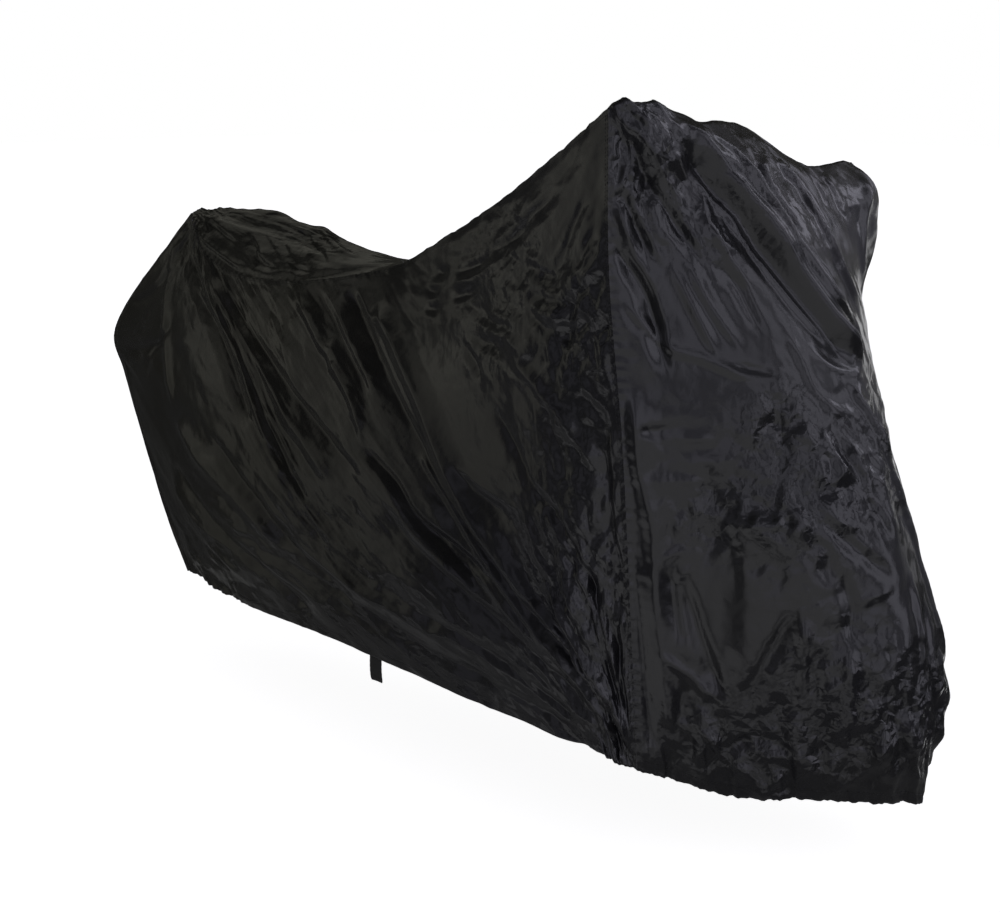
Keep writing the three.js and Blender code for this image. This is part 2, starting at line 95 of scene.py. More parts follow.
# Folds of both side panels: height in mm (a trough where negative), half width in mm, and the line it
# follows as "rib level" pairs: rib 0 at the front seam to 10 at the rear, level 0 at the hem to 4 at the top
SIDE_FOLDS = [
    # The fan that gathers at the front corner of the hem
    (-15, 34, "5 3.9, 4.9 3.3, 4.8 2.6, 4.75 2.1, 4.4 1.7, 3.9 1.3, 2.9 0.75, 1.8 0.2"),
    (12, 40, "4.6 3.7, 4.4 3.3, 4.25 2.8, 4.3 2.2, 4.1 1.7, 3.6 1.2, 2.6 0.6, 1.5 0.15"),
    (11, 22, "4.95 2.5, 4.75 1.85, 4.35 1.42, 3.8 1, 2.9 0.55, 1.6 0.1"),
    (-12, 14, "3.8 1.35, 3.3 1.05, 2.8 0.7, 1.7 0.3, 1 0.05"),
    (-10, 12, "3.3 1.3, 2.9 1, 2.2 0.6, 1.3 0.2"),
    (8, 12, "3.55 1.35, 3.1 1, 2.5 0.62, 1.5 0.22"),
    (9, 14, "3 1.35, 2.6 1, 1.9 0.55, 1.1 0.1"),
    (-8, 28, "6.1 1.95, 5.95 1.6, 5.55 1.32, 5.1 1.12, 4.5 0.92, 3.9 0.65, 2.5 0.3"),
    (-6, 24, "5.6 1.85, 5.2 1.47, 4.85 1.15, 4.1 0.9, 3 0.5"),
    (-8, 16, "5.9 2.5, 5.65 2.2, 5.6 1.9, 5.25 1.7, 4.8 1.4"),
    (6, 26, "5.7 1.55, 5.2 1.22, 4.4 0.95, 3.4 0.6, 2 0.25"),
    (-6, 26, "6.5 0.95, 5.9 0.76, 5.3 0.6, 4.7 0.42, 3.8 0.2"),
    (5, 28, "6.4 0.75, 5.6 0.55, 4.8 0.33, 3.7 0.13"),
    (-4, 20, "6.3 0.4, 5.2 0.24, 4 0.08"),
    (5, 26, "8 1.05, 7.3 1.05, 6.6 0.78, 6.2 0.5"),
    (-6, 28, "8.1 0.9, 7.6 0.82, 7.1 0.76, 6.6 0.5, 5.8 0.3"),
    (-8, 12, "2.6 0.5, 1.9 0.28, 1.2 0.08"),
    (7, 10, "2.2 0.55, 1.6 0.3, 1 0.06"),
    (-8, 10, "1.9 0.6, 1.4 0.3, 0.8 0.04"),
    # Folds that fall from the top of the tail
    (-9, 26, "9 3.85, 8.2 3.55, 7.85 3.05, 7.8 2.65, 7.8 2.3"),
    (-8, 22, "7.7 3.5, 7.45 2.9, 7.45 2.5, 7.4 2.15, 7.3 1.9"),
    (8, 26, "8.4 3.6, 7.65 3.2, 7.6 2.7, 7.6 2.2"),
    (-9, 30, "7.4 3.75, 7.05 3.45, 6.75 3.1, 6.55 2.8, 6.4 2.5, 6.2 2.2"),
    (8, 36, "7.8 3.75, 7.3 3.4, 7.05 3.05, 6.9 2.6, 6.7 2.2"),
    (-6, 26, "5.5 3.95, 5.4 3.6, 5.35 3.3, 5.3 2.95"),
    (7, 24, "5.9 3.85, 5.8 3.4, 5.7 2.9, 5.9 2.5"),
    (-9, 24, "8.45 2.1, 8.25 1.75, 8.05 1.45, 7.85 1.15, 7.3 0.85"),
    (9, 30, "9 2.2, 8.7 1.8, 8.35 1.4, 8 1"),
    (-8, 20, "9.3 1.6, 8.9 1.2, 8.4 0.7, 7.9 0.35"),
    (7, 22, "9.5 1.3, 9.2 0.9, 8.8 0.4"),
    (-7, 18, "9.8 2.6, 9.45 2.75, 9.05 2.9"),
    (-7, 18, "9.5 2.45, 9.2 2.8, 8.85 3.1"),
    (6, 24, "9.7 3.9, 9.2 3.4, 9 2.9, 9 2.3"),
    (-6, 18, "10 3.2, 9.6 3.3, 9.3 3.6"),
]

# Folds that only the right side has, written the same way
RIGHT_FOLDS = [
    # The slope from the mirror to the seat
    (-7, 20, "2.2 3.7, 1.85 3.7, 1.5 3.75, 1.1 3.75"),
    (-5, 14, "1.2 3.35, 0.8 3.5, 0.5 3.6"),
    (-4, 12, "0.62 3.3, 0.45 3.32, 0.28 3.32"),
    (-5, 12, "3.2 3.8, 3.1 3.77, 2.95 3.76"),
    (-6, 13, "2.85 3.7, 2.55 3.68, 2.25 3.68"),
    (-4, 11, "3.5 3.72, 3.35 3.67, 3.2 3.65"),
    (-5, 12, "3 3.55, 2.75 3.53, 2.55 3.52"),
    (-4, 11, "3.6 3.57, 3.45 3.55, 3.3 3.53"),
    (5, 16, "2.9 3.62, 2.4 3.58, 1.9 3.6"),
    (-6, 16, "2.9 3.26, 2.55 3.1, 2.2 2.95"),
    (5, 18, "2.75 3.3, 2.4 3.12, 2 2.95"),
    (-5, 14, "2.55 3.3, 2.3 3.18, 2.05 3.08"),
    (-6, 14, "1.75 3.5, 1.5 3.35, 1.2 3.2"),
    (-8, 16, "1.75 3.28, 1.3 3.1, 0.8 2.94"),
    (6, 16, "1.75 3.15, 1.3 2.98, 0.9 2.85"),
    (-6, 14, "1.45 2.9, 1.3 2.75, 1.2 2.6"),
    (-7, 22, "1 3, 1.15 2.92, 1.35 2.82"),
    (-7, 16, "0.6 3, 0.25 2.8, 0.07 2.6"),
    (7, 18, "0.75 2.9, 0.45 2.7, 0.25 2.45"),
    # The smooth patch below it, and the dark slack part beside the front seam
    (-6, 14, "3 3.22, 2.9 3.05, 2.85 2.88"),
    (-9, 30, "4.1 2.35, 3.75 2.1, 3.15 1.9"),
    (-8, 16, "2.8 2.7, 2.65 2.43, 2.45 2.13, 2.05 1.85, 1.6 1.5, 1.2 1.1"),
    (7, 16, "2.2 2.9, 1.7 2.55, 1.2 2.2, 0.9 1.9"),
    (4, 8, "1.75 2.45, 1.3 2.2, 0.9 2"),
    (4, 8, "1 2.3, 0.7 2.2, 0.4 2.1"),
    (4, 8, "1.05 2.52, 0.7 2.37, 0.3 2.2"),
    (4, 8, "1.9 1.97, 1.5 1.98, 1.05 1.93"),
    (4, 8, "1.8 2.25, 1.75 2.05"),
    (10, 26, "2.35 1.5, 2.1 1.15, 1.95 0.9, 1.3 0.4, 0.7 0.05"),
    (-10, 20, "1.95 1.55, 1.7 1.1, 1.4 0.65, 0.8 0.1"),
    (10, 18, "1.35 1.2, 1.1 0.7, 0.9 0.4, 0.55 0.05"),
    (-9, 16, "0.85 1.1, 0.8 0.6, 0.5 0.2"),
    (8, 14, "0.35 1.1, 0.45 0.6, 0.35 0.15"),
    (-8, 20, "0.45 2.3, 0.55 1.8, 0.4 1.4"),
]

# Folds of the centre panel, their lines as "row across" pairs: row 0 at the front hem, 4 at the top of the
# front, 14 at the tail's top and 18 at the rear hem; across 0 at the right seam to 6 at the left one
CENTRE_FOLDS = [
    # From the right mirror down across the front
    (24, 58, "3.9 1.55, 3.8 1.75, 3.65 1.95, 3.35 2.2, 3.1 2.45, 2.88 2.7, 2.7 2.95, 2.5 3.3"),
    (-20, 52, "3.75 1.45, 3.5 1.85, 3.3 2.1, 3.05 2.32, 2.84 2.55, 2.65 2.8, 2.5 3.2"),
    (8, 14, "3.55 1.62, 3.3 1.94, 3.08 2.15, 2.88 2.38, 2.72 2.6, 2.58 2.83"),
    (12, 26, "3.92 1.9, 3.76 2.14, 3.55 2.32, 3.3 2.5, 3.1 2.66, 2.9 2.9, 2.78 3.3"),
    (-10, 18, "3.78 2.7, 3.65 2.5, 3.46 2.56, 3.3 2.66, 3.15 2.75"),
    (-8, 14, "3.75 1.87, 3.6 2.05, 3.47 2.23, 3.35 2.4"),
    (12, 24, "3.75 2.85, 3.6 3.08, 3.4 3.16, 3.18 3.35, 2.96 3.62, 2.8 3.85"),
    (-13, 34, "3.2 2.5, 3 2.72, 2.85 2.95, 2.74 3.3, 2.55 3.5"),
    (-7, 34, "3.8 3.3, 3.5 3.4, 3.25 3.55, 3.05 3.7"),
    (10, 18, "3.9 4.85, 3.6 4.65, 3.3 4.6, 3 4.7"),
    (-7, 16, "3.95 4.1, 3.7 4.15, 3.45 4.2"),
    (6, 14, "3.95 3.7, 3.7 3.8, 3.5 3.9"),
    (-13, 17, "3.93 0.1, 3.7 0.57, 3.54 0.8, 3.4 0.97, 3.26 1.15, 3.08 1.32"),
    (8, 18, "3.9 0.4, 3.7 0.8, 3.5 1.1, 3.3 1.4"),
    (-9, 14, "3.6 0.15, 3.34 0.42, 3.16 0.6, 3.05 0.7"),
    (7, 14, "3.45 0.15, 3.25 0.3, 3.1 0.45"),
    (-13, 18, "3.2 0.06, 3.03 0.36, 2.9 0.52, 2.73 0.6, 2.6 0.63, 2.42 0.7"),
    (6, 14, "3.08 0.9, 2.85 1.06, 2.67 1.2, 2.5 1.35"),
    (6, 14, "3.12 1.08, 2.9 1.24, 2.72 1.42, 2.55 1.64"),
    (-6, 14, "3.1 1.5, 2.97 1.7, 2.78 1.82, 2.62 1.95"),
    (5, 12, "3.35 1.5, 3.1 1.68, 2.9 1.9"),
    # The crease that runs across below them, and the straight creases of the packing below that
    (5, 9, "2.88 0.1, 2.7 0.45, 2.58 0.72, 2.53 1.1, 2.43 1.54, 2.41 1.96"),
    (-5, 10, "2.5 1.5, 2.46 1.75, 2.44 1.95"),
    (5, 9, "2.53 2.44, 2.45 2.77, 2.42 3.23"),
    (5, 10, "2.73 2.14, 2.53 2.26, 2.28 2.42, 2.17 2.74"),
    (9, 18, "2.41 2.86, 2.21 3.02, 2.04 3.2, 1.86 3.5"),
    (-8, 16, "2.12 2.5, 1.99 2.65, 1.86 2.86"),
    (-5, 9, "2.07 0.2, 2.08 0.48, 2.11 0.75"),
    (4, 9, "2.02 0.66, 2.03 0.93, 2.03 1.2"),
    (4, 9, "1.91 0.93, 1.91 1.2, 1.92 1.45"),
    (3, 8, "1.78 0.3, 1.79 0.9, 1.78 1.5"),
    # Lower front: the strip beside the seam, the leaf-shaped highlight and the folds round it
    (9, 34, "2.3 0.14, 1.9 0.16, 1.55 0.3, 1.27 0.33, 1 0.34, 0.7 0.42, 0.44 0.45, 0.18 0.4"),
    (-8, 18, "1.5 0.03, 1.2 0.05, 0.85 0.14, 0.4 0.2, 0.1 0.25"),
    (-8, 18, "1.35 0.6, 1.05 0.62, 0.8 0.7"),
    (6, 10, "0.75 0.33, 0.65 0.78, 0.5 1.25"),
    (-12, 24, "1.25 0.72, 1.02 0.87, 0.74 1.06, 0.5 1.22"),
    (4, 60, "1.45 1.39, 1.07 1.42, 0.79 1.38, 0.52 1.32"),
    (-12, 26, "1.15 1.9, 0.9 1.68, 0.71 1.52, 0.51 1.36"),
    (8, 12, "1.15 1.93, 0.93 1.94, 0.55 1.93"),
    (-8, 22, "0.95 2.1, 0.75 2.1, 0.55 2.12"),
    (7, 12, "0.95 2.35, 0.8 2.36, 0.65 2.4"),
    (-9, 26, "1.53 2.1, 1.42 2.25, 1.25 2.24"),
    (5, 9, "1.16 2.5, 1.25 2.9"),
    (5, 9, "0.55 1.98, 0.65 2.17, 0.75 2.3"),
    (-9, 26, "0.62 0.74, 0.45 0.66, 0.2 0.5"),
    (4, 8, "1.3 0.45, 1.39 0.78"),
    (4, 8, "1.2 0.64, 1.29 0.88"),
    # The steep folds beside the left edge of the view
    (9, 18, "2.27 2.92, 2.04 3.2, 1.79 3.4, 1.58 3.55, 1.29 3.7, 1 3.95, 0.8 4.2"),
    (-8, 16, "2.1 2.56, 1.74 2.76, 1.44 3.02"),
    (-8, 15, "1.63 2.23, 1.47 2.5, 1.28 2.9"),
    (7, 14, "2.17 2.47, 1.88 2.76, 1.7 3.15"),
    (-8, 18, "1.35 2.36, 1.12 2.44, 0.95 2.38"),
    (8, 18, "1.3 3.2, 1 3.3, 0.7 3.3"),
    (-9, 20, "1.2 3.5, 0.9 3.6, 0.6 3.6"),
    # Lower gathers between the folds and the hem
    (7, 15, "0.5 0.95, 0.3 0.9, 0.08 0.82"),
    (-7, 15, "0.45 1.15, 0.28 1.2, 0.06 1.2"),
    (7, 15, "0.46 1.45, 0.28 1.4, 0.06 1.45"),
    (-7, 15, "0.48 1.7, 0.3 1.78, 0.06 1.75"),
    (8, 17, "0.5 2.3, 0.3 2.2, 0.06 2.25"),
    (-8, 17, "0.6 2.7, 0.35 2.6, 0.06 2.65"),
    (8, 18, "0.65 3, 0.35 2.95, 0.06 3"),
    (-8, 18, "0.6 3.3, 0.35 3.4, 0.06 3.4"),
    (8, 20, "0.6 3.8, 0.3 3.85, 0.06 3.8"),
    (-8, 20, "0.6 4.3, 0.3 4.35, 0.06 4.3"),
    (8, 20, "0.6 4.8, 0.3 4.85, 0.06 4.8"),
    (-8, 20, "0.6 5.3, 0.3 5.35, 0.06 5.3"),
    # The hidden left of the front, finished like the rest
    (10, 34, "3.6 5.3, 3.1 5.1, 2.6 4.8, 2.1 4.5"),
    (-10, 30, "3.3 5.6, 2.8 5.4, 2.3 5.1, 1.8 4.9"),
    (9, 28, "2.4 5.6, 1.9 5.5, 1.3 5.4, 0.7 5.4"),
    (-9, 30, "2 4.2, 1.6 4.3, 1.1 4.5, 0.6 4.6"),
    # Over the bars and tank
    (9, 30, "4.3 2, 5 2.3, 5.8 2.6"),
    (-9, 30, "4.3 3, 5 3, 6 3"),
    (8, 30, "4.3 4.2, 5 3.9, 5.8 3.5"),
    (-7, 26, "5.2 1.2, 6 1.6, 6.8 2"),
    (-7, 26, "5.2 4.8, 6 4.4, 6.8 4"),
    # Over the seat
    (9, 15, "10.1 3.1, 9.6 2.2, 9.1 0.8"),
    (-8, 16, "10.25 2.5, 9.65 1.2, 9.3 0.36"),
    (-6, 14, "10.5 1.3, 9.95 0.5, 9.6 0.2"),
    (5, 14, "10.8 1.6, 10.3 0.8, 9.9 0.3"),
    (-6, 14, "11.2 1.4, 10.6 0.5, 10.1 0.25"),
    (6, 12, "12.8 0.1, 12 0.25, 11.3 0.25, 10.7 0.06"),
    (-6, 16, "12.6 0.9, 11.8 0.8, 11.2 0.7"),
    (7, 20, "11.8 3.4, 11 3, 10.3 3.8"),
    (-7, 20, "10.6 5.2, 9.9 4.4, 9.3 3.4"),
    # Down the tail
    (8, 18, "14.2 2, 15.2 1.6, 16.2 1.6, 17.2 1.8"),
    (-8, 18, "14.3 3, 15.4 3.1, 16.4 3, 17.6 3.1"),
    (8, 18, "14.2 4, 15.2 4.4, 16.2 4.3, 17.2 4.1"),
]

# Steps between two typed points of a fold's line
LINE_STEPS = 6
# A fold's shape: its two flanks in shares of its half width, how round its crest is in mm, the power that
# narrows it, and how its ends fade: over a share of its length, up to a limit in mm, from a little before it
FLANKS = {"steep": 0.55, "gentle": 1.3}
CREST = {"rounding": 2.5, "power": 1.5}
FADE = {"share": 0.4, "limit": 70, "before": 0.15}
# How far from the seams, in mm, folds and crumples have their full height
HOLD = 22

# The crumpling runs along the folds. Its direction is worked out on every fourth point of the grid: every
# third point of a fold's line has a weight, spread over that many half widths, against the panel's own.
COARSE = 4
DIRECTION = {"line": 40, "every": 3, "spread": 1.2, "own": 3500}
# A side panel's own direction points to the front corner of the hem. Past that rib, over so many, it turns
# straight down.
OWN_TURN = {"from": 5, "over": 3}

# Crumpled places, beside the even wear of the whole cloth: how strong, the reach in mm, and the middle by
# the same numbers as the folds. A negative one is a place that stays smooth.
SIDE_CRUMPLES = [
    (-0.9, 120, (3.6, 2.75)),
    (-0.6, 90, (3.2, 2.2)),
    (0.9, 80, (2.5, 3.15)),
    (0.9, 90, (1.9, 3.6)),
    (1.0, 100, (1.2, 3.0)),
    (1.3, 80, (0.35, 2.8)),
    (0.7, 110, (0.8, 1.1)),
    (0.6, 90, (1.7, 1.5)),
    (0.5, 120, (1.4, 2.1)),
    (0.9, 130, (0.6, 0.2)),
    (0.5, 110, (9.7, 0.1)),
    (0.6, 70, (9.8, 3.95)),
    (-0.4, 240, (9.2, 2.0)),
    (0.2, 200, (8.5, 0.8)),
]
CENTRE_CRUMPLES = [
    (0.9, 60, (3.95, 0.9)),
    (0.9, 80, (3.62, 1.05)),
    (1.2, 70, (3.5, 0.25)),
    (0.8, 80, (3.25, 1.6)),
    (0.9, 110, (3.6, 2.7)),
    (0.6, 80, (3.75, 4.2)),
    (-0.5, 90, (2.8, 1.3)),
    (-0.7, 110, (2.3, 1.0)),
    (1.9, 62, (2.1, 1.95)),
    (1.4, 60, (1.62, 1.15)),
    (1.4, 70, (1.6, 1.85)),
    (0.9, 80, (1.75, 2.5)),
    (-0.8, 70, (1.05, 1.4)),
    (0.8, 90, (0.9, 2.2)),
    (1.6, 70, (0.25, 0.9)),
    (1.8, 90, (0.3, 1.6)),
    (1.8, 100, (0.35, 2.4)),
    (1.4, 100, (0.5, 3.2)),
    (0.8, 120, (0.4, 4.1)),
    (0.6, 120, (0.4, 5.2)),
    (0.7, 120, (2.0, 3.2)),
    (1.2, 120, (17.7, 3.0)),
    (0.7, 80, (13.6, 3.0)),
    (0.5, 120, (9.9, 3.0)),
    (-0.5, 150, (12.0, 2.5)),
]

# Sizes of the crumpling, in grid cells: how far apart the corners of its facets lie, how high they stand
# in mm where the cloth is worn and where it is crumpled, and how far they are drawn out along the folds
FACETS = [
    {"apart": 12, "worn": 2.0, "crumpled": 2.8, "drawn": 12},
    {"apart": 5.5, "worn": 0.9, "crumpled": 2.6, "drawn": 5},
    {"apart": 2.8, "worn": 0.25, "crumpled": 1.4, "drawn": 2},
]
# The fine streaks over them, and their mean, which leaves the cloth at its height
STREAKS = {"apart": 3, "drawn": 14, "height": 0.25, "mean": 0.8}
# What a smooth place keeps of the even wear
LEAST_WORN = 0.1

# Where the cloth over the mirrors is blunter than its panels: the corner, the drop and the reach, in mm
BLUNTS = {"right": ((-213, -345, 1204), 14, 34), "left": ((-236, 358, 1180), 8, 30)}
# Puckers of the gathered hem in mm, and how much of them the short ones and the longer ones are
PUCKER = {"height": 3.6, "length": 15, "reach": 34, "share": 0.6, "longer": 2.3, "long_share": 0.8}
# Where a side's hem is gathered: behind the one rib, and more weakly ahead of the other
GATHERED = {"rear": 8.6, "front": 1.0, "over": 0.8, "front_share": 0.5}
# Puckers of the seams in mm, and how far they fade towards a seam's ends
SEAM_PUCKER = {"height": 1.2, "length": 17, "reach": 12, "ends": 20}
# How uneven both kinds are, and how many more are drawn than would just reach
UNEVEN = {"length": (0.5, 1.5), "height": (0.4, 1.3), "spare": 1.8}

# The hem's turning, as (up from the edge, inward) in mm, and the cells over which its upward way is taken
TURNING = [(20, 3.4), (8, 3.6), (1.5, 3.2), (-1.2, 1.4)]
TURNING_RUN = 5
# Stitches in mm, how much higher than wide they are, how much of one has its full size, and how far inside
# the hems and seams their rows run
STITCH = {"length": 4.2, "pitch": 6.0, "radius": 0.5, "raised": 1.3, "full": 0.6}
HEM_STITCHES_AT = (19,)
SEAM_STITCHES_AT = (2.5, 8.5)

# The tab's strap: how far it lies under the hem, its bend, curl and ribs, the waves of its edges, its round
# tip, the powers that square its section, its cells, and the hem's cells beside it that give its direction
STRAP = {"under": 4.2, "bend": 2.2, "bend_turn": 2.6, "curl": 1.5, "rib": 0.10, "rib_pitch": 2.4}
STRAP_EDGE = {"wave": 0.012, "wave_turn": 0.7}
STRAP_TIP = {"reach": 5, "left": 0.5, "width": 0.8, "thick": 0.5}
STRAP_SECTION = {"edge": 0.35, "face": 0.6}
STRAP_CELLS = {"down": 59, "round": 36, "beside": 4}
# The bar tacks that hold it: how far down, how far above its face, and their reach as a share of its width
BAR_TACKS = {"down": (3.0, 6.0, 9.0), "above": 0.2, "across": 0.42, "points": 12}

# The cloth's colours: olive at the rear, a painted warm light, violet-grey at the front, a painted cool
# light, and a paler one where it is worn; its shine, the x in metres over which its rear colour turns into
# the front one, its roughness, and the dust that adds to it towards the tail
CLOTH = {
    "rear": (0.0070, 0.0067, 0.0046, 1),
    "front": (0.0066, 0.0065, 0.0088, 1),
    "worn": (0.0105, 0.0105, 0.0105, 1),
    "shine": 0.25,
    "turns": (0.1, 0.9),
    "rough": (0.17, 0.27),
}
DUST = {"most": 0.04, "from": -0.45, "to": 0.3}
# Blotches of wear, the fine creases as (scale, share, turn), the grain over them, and their bump: its depth
# in metres, its strength on worn cloth, what crumpling adds to that, and the grain's share
BLOTCHES = {"Scale": 5, "Detail": 2}
CREASES = ((23, 1.0, (0.5, 0.9, 0.2)), (48, 0.5, (1.3, 0.4, 0.8)))
GRAIN = {"Scale": 160, "Detail": 1}
BUMP = {"depth": 0.006, "worn": 0.10, "crumpled": 0.5, "grain": 0.04}
# The webbing's waves, up the strap and across it, and its dark and light threads
WEBBING_RIBS = {"Z": {"Scale": 420, "Distortion": 1.5}, "X": {"Scale": 300, "Distortion": 1.0}}
WEBBING_COLOURS = ((0.004, 0.004, 0.004, 1), (0.012, 0.012, 0.012, 1))
WEBBING_BUMP = {"Strength": 0.6, "Distance": 0.0006}
WEBBING_FINISH = {"Roughness": 0.65, "Specular IOR Level": 0.3}

# The photograph's camera, placed in the part's frame
CAMERA = {"at": (2.6095, -2.2734, 0.2813), "turn": 42, "down": 13, "lens": 57.6, "sensor": 36}
# The floor, half its width, and its finish: white, with a glow of its own so that it meets the backdrop
GROUND = -0.9665
FLOOR_REACH = 30
FLOOR_FINISH = {
    "Base Color": (0.9, 0.9, 0.9, 1),
    "Roughness": 0.9,
    "Specular IOR Level": 0.1,
    "Emission Color": (1, 1, 1, 1),
    "Emission Strength": 0.92,
}

# The studio's light panels, as (direction in degrees from ahead to the left, elevation, half width, half
# height, strength), how far off they hang, and beyond which direction they have the tint from behind
PANELS = [
    (-50, 14, 9, 20, 1.4),
    (-22, 16, 10, 26, 1.7),
    (8, 10, 11, 22, 2.3),
    (36, 30, 9, 18, 1.9),
    (61, 34, 8, 19, 2.6),
    (92, 14, 7, 10, 0.5),
    (165, 46, 32, 20, 0.42),
    (-118, 12, 7, 22, 0.45),
    (-90, 14, 7, 22, 0.5),
]
PANELS_AWAY = 12
PANELS_BEHIND = 100
# The light between the panels, behind the cover and ahead of it, its tints, and where one becomes the other
SKY = {"behind": 0.04, "ahead": 0.34}
SKY_TINT = {"behind": (1.0, 0.98, 0.84), "ahead": (0.97, 0.96, 1.14)}
SKY_TURNS = (-0.3, 0.3)
PANEL_TINT = (0.97, 0.96, 1.12)
# Cards that only the cloth's reflections show, as (strength, corners): dark and grey ones on the floor, each
# a step above the last, the grey ones under the front and right hems a painted shadow of the cover on the
# floor, and lighter ones that stand behind the cover to its right
CARDS = [
    (0.04, [(1.64, -1.31), (1.88, -1.60), (1.84, -1.92), (1.58, -2.15), (1.70, -2.6), (8, -29), (-29, -29),
            (-29, 14.9), (-0.75, -1.3), (-0.30, -2.0), (0.80, -1.87)]),
    (0.04, [(0.30, -1.5), (0.20, -0.1), (-0.2, 0.6), (-29, 10.1)]),
    (0.04, [(1.78, -0.03), (0.55, 3.0), (-1.9, 9), (9, 9), (29, 5), (29, -1.2), (2.5, -0.6)]),
    (0.04, [(1.22, -0.60), (1.98, 0.08), (2.09, -0.06), (1.34, -0.73)]),
    (0.04, [(1.42, -0.98), (2.2, -0.25), (2.36, -0.40), (1.55, -1.14)]),
    # Painted shadow: these grey cards under the front hem and along the right hem stand for the cover's
    # shadow on the floor, seen only in its reflections
    (0.12, [(0.95, -0.60), (1.35, -0.56), (1.80, -0.25), (1.80, 0.10), (1.5, 0.40), (0.9, 0.2)]),
    (0.20, [(-0.6, -0.1), (-0.5, -0.80), (0.25, -1.25), (0.36, -0.95), (0.95, -0.72), (1.30, -0.56),
            (0.9, 0.2)]),
]
CARD_STEP = 0.002
SIDE_CARDS = [
    (0.42, [(-0.75, -0.30), (-1.1, -0.75), (-1.85, -0.75), (-1.85, 1.1), (-0.75, 1.1)]),
    (0.60, [(-0.52, -0.12), (-0.75, -0.30), (-0.75, 0.28), (-0.52, 0.22)]),
    (0.30, [(-0.10, 0.02), (-0.46, 0.02), (-0.46, 0.22), (-0.10, 0.16)]),
]
SIDE_CARDS_AT = -1.15

# Against division by zero, below which a facet's area counts as none, and how near corners are one, in cells
TINY = 1e-9
SLIVER = 1e-6
SAME_CORNER = 0.001


def curve(knots, rows, places, corners=()):
    """A smooth curve through rows at rising knots; at a corner each side keeps its own direction."""
    knots, rows, places = (np.asarray(a, float) for a in (knots, rows, places))
    column = (-1,) + (1,) * (rows.ndim - 1)
    span = np.diff(knots).reshape(column)
    slope = np.diff(rows, axis=0) / span
    out_of, into = slope.copy(), slope.copy()
    mean = (slope[:-1] * span[1:] + slope[1:] * span[:-1]) / (span[:-1] + span[1:])
    smooth_here = ~np.isin(knots[1:-1], corners)
    out_of[1:][smooth_here] = mean[smooth_here]
    into[:-1][smooth_here] = mean[smooth_here]
    k = np.clip(np.searchsorted(knots, places) - 1, 0, len(knots) - 2)
    span = span[k]
    s = (places - knots[k]).reshape(column) / span
    rise = rows[k + 1] - rows[k]
    a, b = out_of[k] * span, into[k] * span
    return rows[k] + s * (a + s * (3 * rise - 2 * a - b + s * (a + b - 2 * rise)))


def smooth(t):
    t = np.clip(t, 0, 1)
    return t * t * (3 - 2 * t)


def dot(a, b):
    return np.einsum("...k,...k", a, b)


def unit(vectors):
    return vectors / np.maximum(np.sqrt(dot(vectors, vectors)), TINY)[..., None]


def arc_length(points, axis=0):
    """Length along a line, or along every line of a grid."""
    steps = np.linalg.norm(np.diff(points, axis=axis), axis=-1)
    lengths = np.cumsum(steps, axis=axis)
    return np.concatenate([np.zeros_like(np.take(lengths, [0], axis)), lengths], axis=axis)


def points_at(places, reached, line):
    """Points of a line at given places, where reached is the place of each of its own points."""
    return np.stack([np.interp(places, reached, line[:, k]) for k in range(3)], axis=1)


def rib_knots():
    """Places of the ribs along a side panel: the mean of the hem's and the top's length between them."""
    ribs = np.array(RIBS, float)
    hem, top = (np.linalg.norm(np.diff(ribs[:, level], axis=0), axis=1) for level in (0, LEVEL_COUNT))
    return np.concatenate([[0], np.cumsum((hem + top) / 2)])


RIB_KNOTS = rib_knots()
TOP_LENGTH = RIB_KNOTS[-1]
CORNERS = (FRONT_SEAM_LENGTH, FRONT_SEAM_LENGTH + TOP_LENGTH)


def side_points(side, along, levels):
    """Points of a side panel, side -1 right and 1 left."""
    ribs = curve(RIB_KNOTS, RIBS, along)
    grid = curve(range(LEVEL_COUNT + 1), ribs.transpose(1, 0, 2), levels)
    return grid.transpose(1, 0, 2) * (1, side, 1)


def seam_points(side, places):
    """Points of a side's seam: up the front, along the top and down the rear."""
    front = places <= CORNERS[0]
    rear = places > CORNERS[1]
    top = ~front & ~rear
    fall = LEVEL_COUNT * (1 - (places[rear] - CORNERS[1]) / REAR_SEAM_LENGTH)
    points = np.empty((len(places), 3))
    points[front] = side_points(side, [0], LEVEL_COUNT * places[front] / FRONT_SEAM_LENGTH)[0]
    points[top] = side_points(side, places[top] - CORNERS[0], [LEVEL_COUNT])[:, 0]
    points[rear] = side_points(side, [TOP_LENGTH], fall)[0]
    return points


def symmetric_row(near, crest):
    (x, w, h), (crest_x, crest_h) = near, crest
    half = ((x + crest_x) / 2, w / 2, (h + crest_h) / 2)
    return [(x, -w, h), (half[0], -half[1], half[2]), (crest_x, 0, crest_h), half, (x, w, h)]


def centre_points(places, across):
    """Points of the centre panel, by place along the seam and by column, 0 at the right to 6 at the left."""
    rows = [(level / LEVEL_COUNT * FRONT_SEAM_LENGTH, inner) for level, inner in FRONT]
    rows += [(CORNERS[0] + RIB_KNOTS[rib], symmetric_row(near, crest)) for rib, near, crest in TOP]
    rows += [(CORNERS[1] + (1 - level / LEVEL_COUNT) * REAR_SEAM_LENGTH, symmetric_row(near, crest))
             for level, near, crest in REAR]
    inner = curve([place for place, _ in rows], [points for _, points in rows], places, CORNERS)
    right, left = (seam_points(side, places)[:, None] for side in (-1, 1))
    section = np.concatenate([right, inner, left], axis=1)
    return curve(range(COLUMN_COUNT + 1), section.transpose(1, 0, 2), across).transpose(1, 0, 2)


def grid_normals(grid, outward):
    return unit(np.cross(np.gradient(grid, axis=0), np.gradient(grid, axis=1))) * outward


